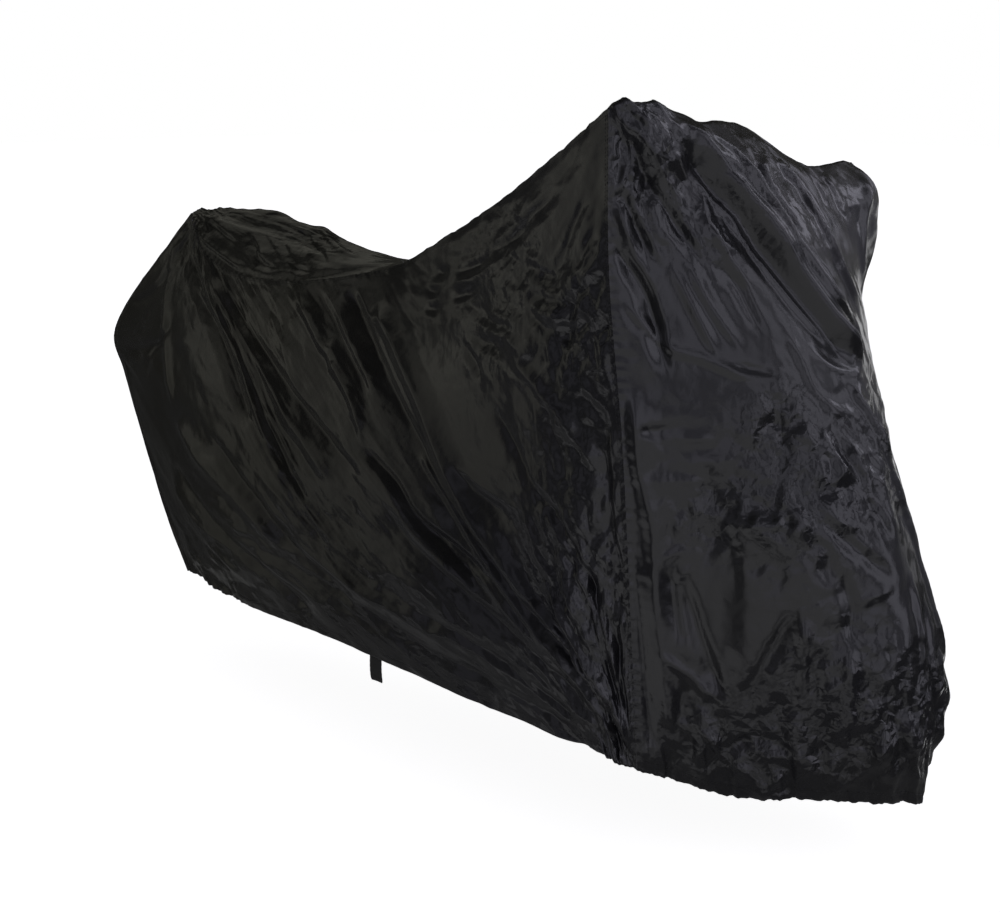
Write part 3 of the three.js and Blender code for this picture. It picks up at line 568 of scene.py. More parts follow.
def blend(field, i, j, a, b):
    """A field's values among four neighbours, a and b of the way from the points (i, j)."""
    near = field[i, j] * (1 - a) + field[i + 1, j] * a
    far = field[i, j + 1] * (1 - a) + field[i + 1, j + 1] * a
    return near * (1 - b) + far * b


def path_marks(text):
    """A fold's line, typed as "row column, row column", as pairs of numbers."""
    return [[float(mark) for mark in pair.split()] for pair in text.split(",")]


def axis_of(edge):
    return 0 if edge.endswith("row") else 1


def index_of(edge):
    return 0 if edge.startswith("first") else -1


class Panel:
    """One cut of cloth as a grid of points, with the landmark number of each of its rows and columns."""

    def __init__(self, name, grid, outward, row_marks, column_marks, folds, crumples, hems):
        self.name, self.outward, self.grid = name, outward, grid
        self.base = grid.copy()
        self.normal = grid_normals(grid, outward)
        self.row_marks, self.column_marks = row_marks, column_marks
        self.shape = grid.shape[:2]
        self.folds = [(height, half, self.line(path_marks(text))) for height, half, text in folds]
        self.crumples, self.hems = crumples, hems

    def at(self, marks):
        """Points of the unfolded surface at (row mark, column mark) pairs."""
        marks = np.asarray(marks, float)
        rows, columns = self.shape
        i = np.interp(marks[:, 0], self.row_marks, np.arange(rows))
        j = np.interp(marks[:, 1], self.column_marks, np.arange(columns))
        i0, j0 = np.minimum(i.astype(int), rows - 2), np.minimum(j.astype(int), columns - 2)
        return blend(self.base, i0, j0, (i - i0)[:, None], (j - j0)[:, None])

    def line(self, path):
        """A fold's line on the surface, smooth through its points."""
        stretches = len(path) - 1
        if stretches == 1:
            return self.at(np.linspace(*path, LINE_STEPS + 1))
        return self.at(curve(range(len(path)), path, np.linspace(0, stretches, LINE_STEPS * stretches + 1)))

    def from_edge(self, edge):
        """Distance in mm of every point from a named edge, along the grid's lines."""
        axis = axis_of(edge)
        lengths = arc_length(self.base, axis)
        return lengths if edge.startswith("first") else np.take(lengths, [-1], axis) - lengths

    def add(self, lift):
        self.grid = self.grid + self.normal * lift[..., None]


def steep_side(line, normal, height):
    """Which flank of a fold is steep, 1 or -1: the lower one of a ridge, the upper one of a trough."""
    middle = len(line) // 2
    positive_side = np.cross(normal, line[middle] - line[middle - 1])
    return -np.sign(positive_side[2]) * np.sign(height)


def nearest_on_line(points, normals, line, reached):
    """Each point's distance from a line, its place along the line, and the side of it, by sign."""
    steps = np.linalg.norm(np.diff(line, axis=0), axis=1)
    distance = np.full(len(points), np.inf)
    place, side = np.zeros(len(points)), np.zeros(len(points))
    for a, b, start, step in zip(line[:-1], line[1:], reached, steps):
        t = np.clip((points - a) @ (b - a) / step**2, 0, 1)
        gap = points - a - t[:, None] * (b - a)
        off = np.sqrt(dot(gap, gap))
        closer = off < distance
        distance[closer], place[closer] = off[closer], start + t[closer] * step
        side[closer] = dot(np.cross(b - a, gap), normals)[closer]
    return distance, place, side


def fold_lift(panel, line, height, half):
    """How far a fold lifts each point: a sharp crest between two unlike flanks, fading at both ends."""
    points = panel.base
    lift = np.zeros(panel.shape)
    reach = half * FLANKS["gentle"]
    near = ((points > line.min(0) - reach) & (points < line.max(0) + reach)).all(-1)
    if not near.any():
        return lift
    normals, reached = panel.normal[near], arc_length(line)
    distance, place, side = nearest_on_line(points[near], normals, line, reached)
    steep = np.sign(side) == steep_side(line, normals[distance.argmin()], height)
    width = half * np.where(steep, FLANKS["steep"], FLANKS["gentle"])
    rounding = CREST["rounding"] / half
    crest = np.clip(1 + rounding - np.sqrt((distance / width) ** 2 + rounding**2), 0, 1) ** CREST["power"]
    fade = min(FADE["share"] * reached[-1], FADE["limit"])
    before = FADE["before"] * fade
    ends = smooth((place + before) / fade) * smooth((reached[-1] - place + before) / fade)
    lift[near] = height * crest * ends
    return lift


def finer(field):
    """A field on a grid of twice as many cells each way."""
    rows, columns = field.shape[:2]
    tall = np.empty((2 * rows - 1,) + field.shape[1:])
    tall[::2], tall[1::2] = field, (field[:-1] + field[1:]) / 2
    wide = np.empty((2 * rows - 1, 2 * columns - 1) + field.shape[2:])
    wide[:, ::2], wide[:, 1::2] = tall, (tall[:, :-1] + tall[:, 1:]) / 2
    return wide


def half_angle(doubled):
    return np.arctan2(doubled[..., 1], doubled[..., 0]) / 2


def fold_steps(panel, own):
    """A step of one cell along the folds at each point; far from them it follows the panel's own way."""
    grid, normal = panel.base[::COARSE, ::COARSE], panel.normal[::COARSE, ::COARSE]
    row_way, column_way = np.gradient(grid, axis=0), np.gradient(grid, axis=1)
    east = unit(row_way)
    north = np.cross(normal, east)

    def doubled(way):
        """A way at twice its angle from east, where it and its opposite are one."""
        a, b = dot(way, east), dot(way, north)
        return np.stack([a * a - b * b, 2 * a * b], -1) / np.maximum(a * a + b * b, TINY)[..., None]

    total = doubled(own[::COARSE, ::COARSE]) / DIRECTION["own"]
    for _, half, whole_line in panel.folds:
        line = whole_line[::DIRECTION["every"]]
        for a, b in zip(line[:-1], line[1:]):
            off = grid - (a + b) / 2
            weight = DIRECTION["line"] / (dot(off, off) + (DIRECTION["spread"] * half) ** 2) ** 1.5
            total += doubled(np.broadcast_to(unit(b - a), grid.shape)) * weight[..., None]
    angle = half_angle(total)
    along = east * np.cos(angle)[..., None] + north * np.sin(angle)[..., None]
    rr, cc, rc = dot(row_way, row_way), dot(column_way, column_way), dot(row_way, column_way)
    r, c = dot(along, row_way), dot(along, column_way)
    steps = np.stack([cc * r - rc * c, rr * c - rc * r], -1)
    steps = steps / np.linalg.norm(steps, axis=-1, keepdims=True)
    twice = np.stack([steps[..., 0] ** 2 - steps[..., 1] ** 2, 2 * steps[..., 0] * steps[..., 1]], -1)
    angle = half_angle(finer(finer(twice)))
    return np.stack([np.cos(angle), np.sin(angle)], -1)


def drawn_out(noise, steps, count):
    """Noise averaged that many cells each way along the folds, brought back to a spread of one."""
    rows, columns = noise.shape
    total = noise.copy()
    for sign in (1, -1):
        spot = np.stack(np.meshgrid(np.arange(rows), np.arange(columns), indexing="ij"), -1).astype(float)
        going = sign * steps
        for _ in range(count):
            spot = np.clip(spot + going, 0, (rows - 1, columns - 1))
            i, j = np.rint(spot).astype(int).transpose(2, 0, 1)
            total += noise[i, j]
            following = steps[i, j]
            going = np.where(dot(following, going)[..., None] < 0, -following, following)
    return (total - total.mean()) / total.std()


def wave_noise(shape, cells, rng):
    """Random waves about that many grid cells long."""
    rows, columns = (int(n / cells) + 3 for n in shape)
    coarse = rng.normal(size=(rows, columns))
    i, j = (np.arange(shape[0]) / cells)[:, None], (np.arange(shape[1]) / cells)[None]
    i0, j0 = i.astype(int), j.astype(int)
    return blend(coarse, i0, j0, smooth(i - i0), smooth(j - j0))


def fill_triangle(surface, corners, heights):
    """Writes a flat triangle's height into the grid points inside it."""
    low = np.maximum(np.ceil(corners.min(0)).astype(int), 0)
    high = np.minimum(np.floor(corners.max(0)).astype(int) + 1, surface.shape)
    (a, b), (c, d), (e, f) = corners
    det = (d - f) * (a - e) + (e - c) * (b - f)
    if (high <= low).any() or abs(det) < SLIVER:
        return
    i = np.arange(low[0], high[0])[:, None]
    j = np.arange(low[1], high[1])[None]
    u = ((d - f) * (i - e) + (e - c) * (j - f)) / det
    v = ((f - b) * (i - e) + (a - e) * (j - f)) / det
    w = 1 - u - v
    inside = (u >= -SLIVER) & (v >= -SLIVER) & (w >= -SLIVER)
    window = surface[low[0]:high[0], low[1]:high[1]]
    window[inside] = (heights[0] * u + heights[1] * v + heights[2] * w)[inside]


def facets(field, apart, rng):
    """The field as flat facets between random corners about that many cells apart."""
    rows, columns = field.shape
    count = int((rows + 2 * apart) * (columns + 2 * apart) / apart**2)
    spots = rng.uniform((-apart, -apart), (rows + apart, columns + apart), (count, 2))
    corners, _, triangles, *_ = delaunay_2d_cdt([Vector(spot) for spot in spots], [], [], 0, SAME_CORNER)
    corners = np.array([tuple(corner) for corner in corners])
    i, j = np.clip(np.rint(corners).astype(int), 0, (rows - 1, columns - 1)).T
    heights = field[i, j]
    surface = np.zeros_like(field)
    for triangle in triangles:
        fill_triangle(surface, corners[triangle], heights[triangle])
    return surface


def wear_shares(panel):
    """How worn and how crumpled the cloth is at each point."""
    worn, crumpled = np.ones(panel.shape), np.zeros(panel.shape)
    for amount, reach, mark in panel.crumples:
        off = panel.base - panel.at([mark])[0]
        share = amount * np.exp(-dot(off, off) / reach**2)
        if amount < 0:
            worn += share
        else:
            crumpled += share
    return np.clip(worn, LEAST_WORN, 1), crumpled


def crumple(panel, hold, own, rng):
    """Facets and fine streaks over the whole cloth, stronger in the crumpled places."""
    steps = fold_steps(panel, own)
    worn, crumpled = wear_shares(panel)
    lift = np.zeros(panel.shape)
    for size in FACETS:
        field = drawn_out(wave_noise(panel.shape, size["apart"], rng), steps, size["drawn"])
        lift += facets(field, size["apart"], rng) * (size["worn"] * worn + size["crumpled"] * crumpled)
    streaks = drawn_out(wave_noise(panel.shape, STREAKS["apart"], rng), steps, STREAKS["drawn"])
    lift += (STREAKS["mean"] - np.abs(streaks)) * STREAKS["height"] * (worn + crumpled)
    panel.crumpled = crumpled
    panel.add(lift * hold)


def uneven_wave(length, spacing, rng):
    """Uneven waves along an edge of that arc length."""
    count = int(length[-1] / spacing * UNEVEN["spare"]) + 3
    marks = np.cumsum(rng.uniform(*UNEVEN["length"], count)) * spacing
    phase = np.interp(length, marks - marks[0], np.arange(count))
    size = np.interp(length, marks - marks[0], rng.uniform(*UNEVEN["height"], count))
    return np.cos(2 * math.pi * phase) * size


def gather(panel, edge, gathered, rng):
    """Puckers of a gathered hem, which fade away from it; gathered says where along it, 0 to 1."""
    axis = axis_of(edge)
    length = arc_length(np.take(panel.base, index_of(edge), axis))
    long_wave = uneven_wave(length, PUCKER["length"] * PUCKER["longer"], rng) * PUCKER["long_share"]
    wave = uneven_wave(length, PUCKER["length"], rng) * PUCKER["share"] + long_wave
    wave = np.expand_dims(wave * gathered * PUCKER["height"], axis)
    panel.add(wave * np.exp(-panel.from_edge(edge) / PUCKER["reach"]))


def softened(field):
    """The field with each point averaged with its neighbours."""
    for _ in range(2):
        wide = np.pad(field, ((1, 1), (0, 0)), mode="edge")
        field = ((wide[:-2] + wide[2:]) / 4 + wide[1:-1] / 2).T
    return field


def add_folds(panel, hold):
    lift = np.zeros(panel.shape)
    for height, half, line in panel.folds:
        lift += fold_lift(panel, line, height, half)
    panel.add(softened(lift) * hold)


def hold_at(panel, edges):
    """1 inside the cloth, falling to 0 at the named edges."""
    return smooth(np.min([panel.from_edge(edge) for edge in edges], axis=0) / HOLD)


def pull_to_seam(panel, edge, line):
    """Moves a panel's edge onto the puckered seam line, and the cloth beside it along."""
    axis, index = axis_of(edge), index_of(edge)
    change = np.expand_dims(line - np.take(panel.grid, index, axis), axis)
    fall = np.exp(-panel.from_edge(edge) / SEAM_PUCKER["reach"])[..., None]
    panel.grid = panel.grid + change * fall
    np.moveaxis(panel.grid, axis, 0)[index] = line


def seam_line(centre, column, side, rng):
    """A sewn seam as one puckered line, at the centre panel's rows."""
    line = centre.base[:, column]
    length = arc_length(line)
    out = unit(centre.normal[:, column] + (0, side, 0))
    wave = uneven_wave(length, SEAM_PUCKER["length"], rng) * SEAM_PUCKER["height"]
    ends = smooth(np.minimum(length, length[-1] - length) / SEAM_PUCKER["ends"])
    return line + out * (wave * ends)[:, None]


def side_panel(name, side, cells, folds):
    rng = np.random.default_rng(SEEDS[name])
    along = np.linspace(0, TOP_LENGTH, cells["along"] + 1)
    levels = np.linspace(0, LEVEL_COUNT, cells["up"] + 1)
    ribs = np.interp(along, RIB_KNOTS, np.arange(RIB_COUNT + 1))
    grid = side_points(side, along, levels)
    panel = Panel(name, grid, side, ribs, levels, folds, SIDE_CRUMPLES, ("first_column",))
    panel.along, panel.levels = along, levels
    hold = hold_at(panel, ("first_row", "last_row", "last_column"))
    add_folds(panel, hold)
    to_corner = panel.base[0, 0] - panel.base
    upward = unit(np.gradient(panel.base, axis=1))
    share = smooth((ribs - OWN_TURN["from"]) / OWN_TURN["over"])[:, None, None]
    crumple(panel, hold, unit(to_corner) * (1 - share) - upward * share, rng)
    rear = smooth((ribs - GATHERED["rear"]) / GATHERED["over"])
    front = smooth((GATHERED["front"] - ribs) / GATHERED["over"])
    gather(panel, "first_column", rear + GATHERED["front_share"] * front, rng)
    return panel


def centre_panel(name, cells):
    rng = np.random.default_rng(SEEDS[name])
    front = np.linspace(0, CORNERS[0], cells["front"] + 1)
    top = np.linspace(*CORNERS, cells["top"] + 1)[1:]
    rear = np.linspace(CORNERS[1], CORNERS[1] + REAR_SEAM_LENGTH, cells["rear"] + 1)[1:]
    places = np.concatenate([front, top, rear])
    across = np.linspace(0, COLUMN_COUNT, cells["across"] + 1)
    front_rows = np.arange(LEVEL_COUNT + 1) * FRONT_SEAM_LENGTH / LEVEL_COUNT
    rear_rows = CORNERS[1] + np.arange(1, LEVEL_COUNT + 1) * REAR_SEAM_LENGTH / LEVEL_COUNT
    row_places = np.concatenate([front_rows, CORNERS[0] + RIB_KNOTS[1:], rear_rows])
    rows = np.interp(places, row_places, np.arange(len(row_places)))
    grid = centre_points(places, across)
    panel = Panel(name, grid, -1, rows, across, CENTRE_FOLDS, CENTRE_CRUMPLES, ("first_row", "last_row"))
    panel.places = places
    hold = hold_at(panel, ("first_column", "last_column"))
    add_folds(panel, hold)
    crumple(panel, hold, np.gradient(panel.base, axis=0), rng)
    for edge in panel.hems:
        gather(panel, edge, 1, rng)
    return panel


def blunt(panel, corner, drop, reach):
    """Lowers the cloth at a mirror's corner, where its point would stand too sharp."""
    off = panel.base - np.array(corner, float)
    panel.grid[..., 2] -= drop * np.exp(-dot(off, off) / reach**2)


def sew(centre, side):
    """Joins a side panel to the centre one along a shared puckered line."""
    edge = "first_column" if side.outward < 0 else "last_column"
    rng = np.random.default_rng(SEEDS[side.name + "_seam"])
    line = seam_line(centre, index_of(edge), side.outward, rng)
    up = side.levels / LEVEL_COUNT
    front, top, rear = (points_at(places, centre.places, line) for places in (
        up * FRONT_SEAM_LENGTH, CORNERS[0] + side.along, CORNERS[1] + (1 - up) * REAR_SEAM_LENGTH))
    pull_to_seam(centre, edge, line)
    pull_to_seam(side, "last_column", top)
    pull_to_seam(side, "first_row", front)
    pull_to_seam(side, "last_row", rear)
    side.grid[:, -1] = top


def upright(points):
    """Leaning frame to one that stands upright."""
    x, w, h = points[..., 0], points[..., 1], points[..., 2]
    return np.stack([x, w * math.cos(LEAN) + h * math.sin(LEAN), h * math.cos(LEAN) - w * math.sin(LEAN)], -1)


def in_part_frame(points):
    """Leaning frame in millimetres to a list of points in the part's frame, in metres."""
    return ((upright(points) - upright(np.array(SADDLE, float))) / 1000).reshape(-1, 3)


def mesh_object(name, points, faces, material):
    mesh = bpy.data.meshes.new(name)
    mesh.from_pydata(points.tolist(), [], faces)
    mesh.materials.append(material)
    mesh.shade_smooth()
    mesh.update()
    piece = bpy.data.objects.new(name, mesh)
    bpy.context.scene.collection.objects.link(piece)
    return piece


def grid_faces(rows, columns, outward):
    index = np.arange(rows * columns).reshape(rows, columns)
    a, b, c, d = index[:-1, :-1], index[1:, :-1], index[1:, 1:], index[:-1, 1:]
    corners = (a, b, c, d) if outward > 0 else (a, d, c, b)
    return np.stack([corner.ravel() for corner in corners], axis=1).tolist()


def turned_under(field, first, added):
    """A grid's field with the hem's rows added before its first row or after its last one."""
    return np.concatenate([added, field] if first else [field, added[::-1]])


def with_hems(panel):
    """The panel's points and crumpling with its hems turned under."""
    axis = axis_of(panel.hems[0])
    fields = (panel.grid, panel.crumpled, panel.normal)
    points, values, normal = (np.moveaxis(field, axis, 0) for field in fields)
    for edge in panel.hems:
        first = edge.startswith("first")
        index, above = (0, TURNING_RUN) if first else (-1, -1 - TURNING_RUN)
        up = unit(points[above] - points[index])
        added = np.stack([points[index] + up * rise - normal[index] * inward for rise, inward in TURNING])
        same = np.repeat(values[[index]], len(TURNING), axis=0)
        points, values = turned_under(points, first, added), turned_under(values, first, same)
    return np.moveaxis(points, 0, axis), np.moveaxis(values, 0, axis)


def cloth_object(panel, material):
    """A panel's mesh, with how crumpled each point is for the material."""
    grid, crumpled = with_hems(panel)
    faces = grid_faces(*grid.shape[:2], panel.outward)
    piece = mesh_object(panel.name + "_cloth", in_part_frame(grid), faces, material)
    attribute = piece.data.attributes.new("crumpled", "FLOAT", "POINT")
    attribute.data.foreach_set("value", crumpled.ravel().astype(np.float32))
    return piece


def line_inside(panel, edge, inset):
    """Points and normals of the cloth along a line that runs that far inside an edge."""
    fields = (panel.from_edge(edge), panel.grid, grid_normals(panel.grid, panel.outward))
    away, grid, normal = (np.moveaxis(field, axis_of(edge), 0) for field in fields)
    if edge.startswith("last"):
        away, grid, normal = away[::-1], grid[::-1], normal[::-1]
    k = np.arange(away.shape[1])
    beyond = (away > inset).argmax(axis=0)
    share = ((inset - away[beyond - 1, k]) / (away[beyond, k] - away[beyond - 1, k]))[:, None]
    return grid[beyond - 1, k] * (1 - share) + grid[beyond, k] * share, normal[beyond, k]


def stitch_places(lines):
    """The middle of every stitch along lines of points and normals, its way and its upward way."""
    middles, ways, ups = [], [], []
    for points, normal in lines:
        reached = arc_length(points)
        at = np.arange(STITCH["pitch"], reached[-1] - STITCH["pitch"], STITCH["pitch"])
        half = STITCH["length"] / 2
        start, end = (points_at(at + shift, reached, points) for shift in (-half, half))
        middles.append((start + end) / 2)
        ways.append(unit(end - start))
        ups.append(unit(points_at(at, reached, normal)))
    return (np.concatenate(parts) for parts in (middles, ways, ups))


def stitches(name, lines, material):
    """Rows of raised stitches: a point at each end and two rings of four between them."""
    middle, way, up = stitch_places(lines)
    aside = np.cross(up, way)
    radius, reach = STITCH["radius"], STITCH["length"] / 2
    ring = [up * radius * STITCH["raised"], aside * radius, up * -radius, aside * -radius]
    rings = [way * (STITCH["full"] * reach * end) + corner for end in (-1, 1) for corner in ring]
    points = np.stack([middle + corner for corner in (way * -reach, *rings, way * reach)], axis=1)
    sides = [(k, (k + 1) % 4) for k in range(4)]
    one = [(0, 1 + k, 1 + after) for k, after in sides] + [(9, 5 + after, 5 + k) for k, after in sides]
    one += [(1 + k, 5 + k, 5 + after) for k, after in sides]
    one += [(1 + k, 5 + after, 1 + after) for k, after in sides]
    faces = (np.arange(len(middle))[:, None, None] * 10 + np.array(one)).reshape(-1, 3)
    return mesh_object(name, in_part_frame(points), faces.tolist(), material)


def tab_frame(right):
    """Where the tab is sewn behind the right hem, and its ways down, across and outward."""
    hem, normal = right.grid[:, 0], right.normal[:, 0]
    k = int(np.argmin(abs(hem[:, 0] - TAB["x"])))
    down = np.array([0, math.sin(LEAN), -math.cos(LEAN)])
    across = hem[k - STRAP_CELLS["beside"]] - hem[k + STRAP_CELLS["beside"]]
    across = unit(across - down * dot(across, down))
    return hem[k] - normal[k] * STRAP["under"], down, across, np.cross(down, across)


def squared(wave, power):
    return np.sign(wave) * abs(wave) ** power


def tab_points(start, down, across, face):
    """Rings of points down a ribbed strap that leans, bends and curls a little."""
    reach = np.linspace(-TAB["tuck"], TAB["drop"], STRAP_CELLS["down"] + 1)
    around = np.linspace(0, 2 * math.pi, STRAP_CELLS["round"] + 1)[:-1]
    flat = squared(np.cos(around), STRAP_SECTION["edge"])
    thick = squared(np.sin(around), STRAP_SECTION["face"])
    share = np.clip(reach / TAB["drop"], 0, 1)
    tip = np.sqrt(np.clip((TAB["drop"] + STRAP_TIP["left"] - reach) / STRAP_TIP["reach"], 0, 1))
    narrow, thin = (STRAP_TIP[key] + (1 - STRAP_TIP[key]) * tip for key in ("width", "thick"))
    half = TAB["width"] / 2 * narrow * (1 + STRAP_EDGE["wave"] * np.sin(reach * STRAP_EDGE["wave_turn"]))
    ribs = TAB["thick"] / 2 * thin * (1 + STRAP["rib"] * np.sin(reach * 2 * math.pi / STRAP["rib_pitch"]))
    middle = start + np.outer(reach, down) + np.outer(TAB["lean"] * share, across)
    middle = middle + np.outer(STRAP["bend"] * np.sin(STRAP["bend_turn"] * share), face)
    above = np.outer(ribs, thick) + np.outer(STRAP["curl"] * share, flat**2)
    points = middle[:, None] + across * np.outer(half, flat)[..., None] + face * above[..., None]
    return np.concatenate([points, points[:, :1]], axis=1)


def hem_tab(right, material):
    """A doubled strap of webbing that hangs from under the right hem."""
    points = tab_points(*tab_frame(right))
    rows, columns = points.shape[:2]
    ends = [list(range(columns - 1))[::-1], [(rows - 1) * columns + j for j in range(columns - 1)]]
    faces = grid_faces(rows, columns, 1) + ends
    return mesh_object("hem_tab_webbing", in_part_frame(points), faces, material)


def bar_tacks(right):
    """The lines of short rows of stitches across the tab, where it is sewn on."""
    start, down, across, face = tab_frame(right)
    aside = np.linspace(-BAR_TACKS["across"], BAR_TACKS["across"], BAR_TACKS["points"])[:, None]
    row = start + face * (TAB["thick"] / 2 + BAR_TACKS["above"]) + aside * TAB["width"] * across
    return [(row + down * reach, np.repeat(face[None], len(row), 0)) for reach in BAR_TACKS["down"]]


def feed(tree, target, inputs):
    """Sets a node's inputs, by name or number, to values or to other nodes' outputs."""
    for key, value in dict(inputs).items():
        if isinstance(value, bpy.types.NodeSocket):
            tree.links.new(value, target.inputs[key])
        else:
            target.inputs[key].default_value = value
    return target


def node(tree, kind, inputs=(), **settings):
    made = tree.nodes.new(kind)
    for key, value in settings.items():
        setattr(made, key, value)
    return feed(tree, made, inputs)


def maths(tree, operation, *values):
    return node(tree, "ShaderNodeMath", dict(enumerate(values)), operation=operation).outputs[0]


def mixed(tree, factor, a, b):
    return node(tree, "ShaderNodeMix", {"Factor": factor, "A": a, "B": b}, data_type="RGBA").outputs[2]


def ranged(tree, value, low, high, to_low=0.0, to_high=1.0):
    inputs = {"Value": value, "From Min": low, "From Max": high, "To Min": to_low, "To Max": to_high}
    return node(tree, "ShaderNodeMapRange", inputs).outputs[0]


def x_of(tree, place):
    return node(tree, "ShaderNodeSeparateXYZ", {0: place}).outputs["X"]


def new_material(name, inputs=()):
    """A material and its node tree, with its shader's inputs set by name."""
    material = bpy.data.materials.new(name)
    material.use_nodes = True
    tree = material.node_tree
    feed(tree, tree.nodes["Principled BSDF"], inputs)
    return material, tree


def creases(tree, place):
    """Height of the fine creases and the grain, too fine for the mesh."""
    height = 0.0
    for scale, share, turn in CREASES:
        turned = node(tree, "ShaderNodeMapping", {"Vector": place, "Rotation": turn}).outputs[0]
        folded = node(tree, "ShaderNodeTexVoronoi", {"Vector": turned, "Scale": scale}, distance="CHEBYCHEV")
        height = maths(tree, "ADD", height, maths(tree, "MULTIPLY", folded.outputs["Distance"], share))
    grain = node(tree, "ShaderNodeTexNoise", {"Vector": place, **GRAIN}).outputs["Fac"]
    return maths(tree, "ADD", height, maths(tree, "MULTIPLY", grain, BUMP["grain"]))


def coated_cloth():
    material, tree = new_material("coated_cloth")
    place = node(tree, "ShaderNodeTexCoord").outputs["Object"]
    crumpled = node(tree, "ShaderNodeAttribute", attribute_name="crumpled").outputs["Fac"]
    x = x_of(tree, place)
    blotches = node(tree, "ShaderNodeTexNoise", {"Vector": place, **BLOTCHES}).outputs["Fac"]
    # Painted light: the colour turns from olive at the rear, a painted warm light, to violet-grey at the
    # front, a painted cool light
    tint = mixed(tree, ranged(tree, x, *CLOTH["turns"]), CLOTH["rear"], CLOTH["front"])
    dusty = ranged(tree, x, DUST["from"], DUST["to"], DUST["most"], 0.0)
    rough = maths(tree, "ADD", ranged(tree, blotches, 0, 1, *CLOTH["rough"]), dusty)
    strength = maths(tree, "ADD", maths(tree, "MULTIPLY", crumpled, BUMP["crumpled"]), BUMP["worn"])
    height = maths(tree, "MULTIPLY", creases(tree, place), strength)
    bump = node(tree, "ShaderNodeBump", {"Height": height, "Strength": 1.0, "Distance": BUMP["depth"]})
    feed(tree, tree.nodes["Principled BSDF"], {
        "Base Color": mixed(tree, blotches, tint, CLOTH["worn"]),
        "Roughness": rough,
        "Specular IOR Level": CLOTH["shine"],
        "Normal": bump.outputs[0],
    })
    return material


def webbing():
    material, tree = new_material("webbing", WEBBING_FINISH)
    place = node(tree, "ShaderNodeTexCoord").outputs["Object"]
    waves = [node(tree, "ShaderNodeTexWave", {"Vector": place, **ribs}, bands_direction=way).outputs["Fac"]
             for way, ribs in WEBBING_RIBS.items()]
    weave = maths(tree, "MULTIPLY", *waves)
    bump = node(tree, "ShaderNodeBump", {"Height": weave, **WEBBING_BUMP})
    colour = mixed(tree, weave, *WEBBING_COLOURS)
    feed(tree, tree.nodes["Principled BSDF"], {"Base Color": colour, "Normal": bump.outputs[0]})
    return material


def card(name, corners, strength, tint=(1, 1, 1)):
    """A lit card, or a dark one, that only the cloth's reflections show."""
    glow, _ = new_material(name, {
        "Base Color": (0, 0, 0, 1),
        "Specular IOR Level": 0,
        "Emission Color": (*tint, 1),
        "Emission Strength": strength,
    })
    glow.cycles.emission_sampling = "NONE"
    piece = mesh_object(name, np.array(corners, float), [list(range(len(corners)))], glow)
    piece.visible_camera = piece.visible_diffuse = piece.visible_shadow = False


def light_panel(name, azimuth, elevation, half_width, half_height, strength):
    """A lit panel on a wide ball round the cover."""
    corners = []
    for aside, above in ((-1, -1), (1, -1), (1, 1), (-1, 1)):
        turn = math.radians(azimuth + aside * half_width)
        rise = math.radians(elevation + above * half_height)
        corners.append((math.cos(rise) * math.cos(turn), math.cos(rise) * math.sin(turn), math.sin(rise)))
    tint = SKY_TINT["behind"] if azimuth > PANELS_BEHIND else PANEL_TINT
    card(name, np.array(corners) * PANELS_AWAY, strength, tint)


def sky(tree):
    """Plain light from all round, weaker and warmer behind; the camera sees plain white."""
    way = node(tree, "ShaderNodeTexCoord").outputs["Generated"]
    ahead = ranged(tree, x_of(tree, way), *SKY_TURNS)
    light = maths(tree, "MULTIPLY_ADD", ahead, SKY["ahead"] - SKY["behind"], SKY["behind"])
    tint = mixed(tree, ahead, (*SKY_TINT["behind"], 1), (*SKY_TINT["ahead"], 1))
    seen = node(tree, "ShaderNodeLightPath").outputs["Is Camera Ray"]
    colour = mixed(tree, seen, tint, (1, 1, 1, 1))
    feed(tree, tree.nodes["Background"], {"Strength": maths(tree, "MAXIMUM", light, seen), "Color": colour})


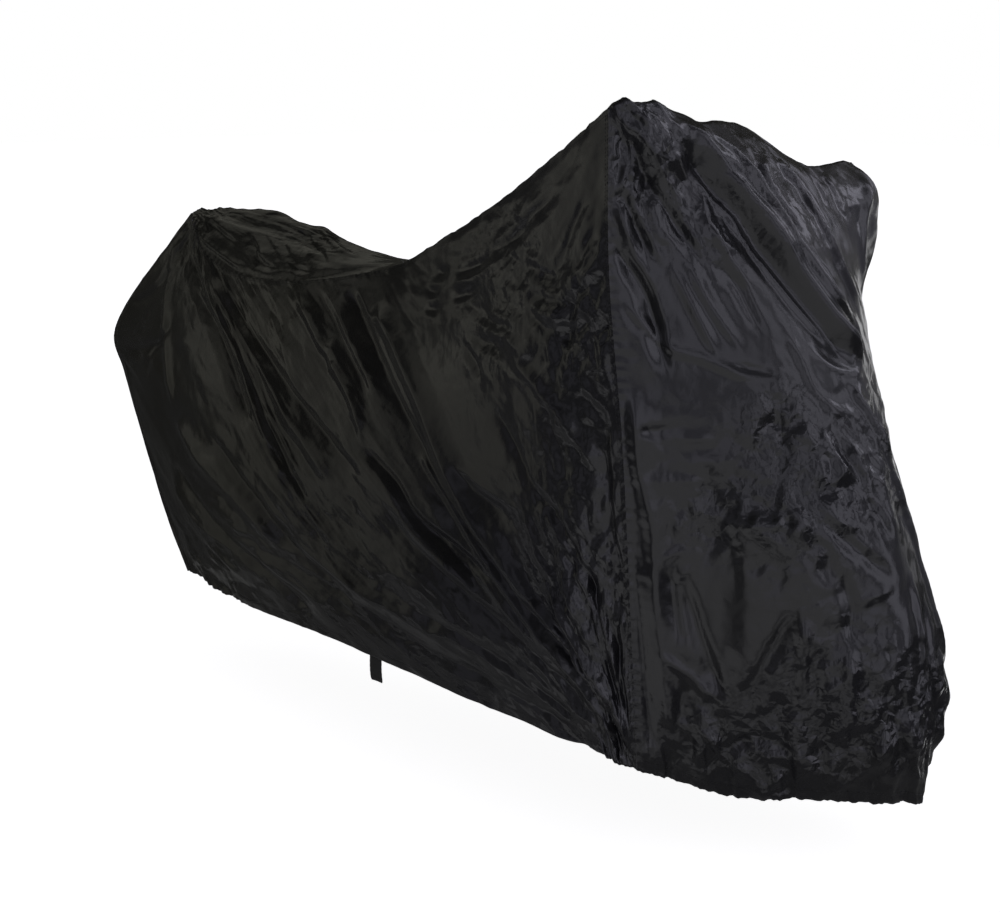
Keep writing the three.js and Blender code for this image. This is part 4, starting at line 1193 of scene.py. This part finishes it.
def studio():
    scene = bpy.context.scene
    scene.view_settings.view_transform = "Standard"
    scene.world = bpy.data.worlds.new("studio")
    scene.world.use_nodes = True
    sky(scene.world.node_tree)
    paper, _ = new_material("floor", FLOOR_FINISH)
    corners = [(x * FLOOR_REACH, y * FLOOR_REACH, GROUND) for x, y in ((-1, -1), (1, -1), (1, 1), (-1, 1))]
    mesh_object("floor", np.array(corners, float), [[0, 1, 2, 3]], paper)
    for index, panel in enumerate(PANELS):
        light_panel("light_panel_%d" % index, *panel)
    for index, (strength, corners) in enumerate(CARDS):
        height = GROUND + CARD_STEP * (index + 1)
        card("floor_card_%d" % index, [(x, y, height) for x, y in corners], strength)
    for index, (strength, corners) in enumerate(SIDE_CARDS):
        standing = [(SIDE_CARDS_AT, y, z) for y, z in corners]
        card("side_card_%d" % index, standing, strength, SKY_TINT["behind"])


def camera():
    data = bpy.data.cameras.new("camera")
    data.lens, data.sensor_width = CAMERA["lens"], CAMERA["sensor"]
    eye = bpy.data.objects.new("camera", data)
    eye.location = CAMERA["at"]
    eye.rotation_euler = (math.radians(90 - CAMERA["down"]), 0, math.radians(CAMERA["turn"]))
    bpy.context.scene.collection.objects.link(eye)
    bpy.context.scene.camera = eye


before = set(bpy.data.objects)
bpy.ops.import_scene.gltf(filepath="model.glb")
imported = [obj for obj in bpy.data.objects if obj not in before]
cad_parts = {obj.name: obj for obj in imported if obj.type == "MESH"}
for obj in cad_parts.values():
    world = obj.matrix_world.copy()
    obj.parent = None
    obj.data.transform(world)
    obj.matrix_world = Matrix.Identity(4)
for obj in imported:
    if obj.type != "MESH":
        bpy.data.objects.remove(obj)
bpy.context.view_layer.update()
camera()
studio()
cloth = coated_cloth()
right = side_panel("right_panel", -1, SIDE_CELLS, SIDE_FOLDS + RIGHT_FOLDS)
left = side_panel("left_panel", 1, LEFT_CELLS, SIDE_FOLDS)
centre = centre_panel("centre_panel", CENTRE_CELLS)
sew(centre, right)
sew(centre, left)
for panel, mirror in ((centre, "right"), (right, "right"), (centre, "left"), (left, "left")):
    blunt(panel, *BLUNTS[mirror])
strap = webbing()
for panel in (right, left, centre):
    piece = cloth_object(panel, cloth)
    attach(piece, "root")
    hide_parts(panel.name)
tab = hem_tab(right, strap)
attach(tab, "root")
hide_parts("hem_tab")
for panel in (right, left, centre):
    seams = () if panel is centre else ("first_row", "last_column", "last_row")
    lines = [line_inside(panel, edge, inset) for edge in seams for inset in SEAM_STITCHES_AT]
    lines += [line_inside(panel, edge, inset) for edge in panel.hems for inset in HEM_STITCHES_AT]
    lines += bar_tacks(right) if panel is right else []
    thread = stitches(panel.name + "_stitches", lines, strap)
    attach(thread, "root")
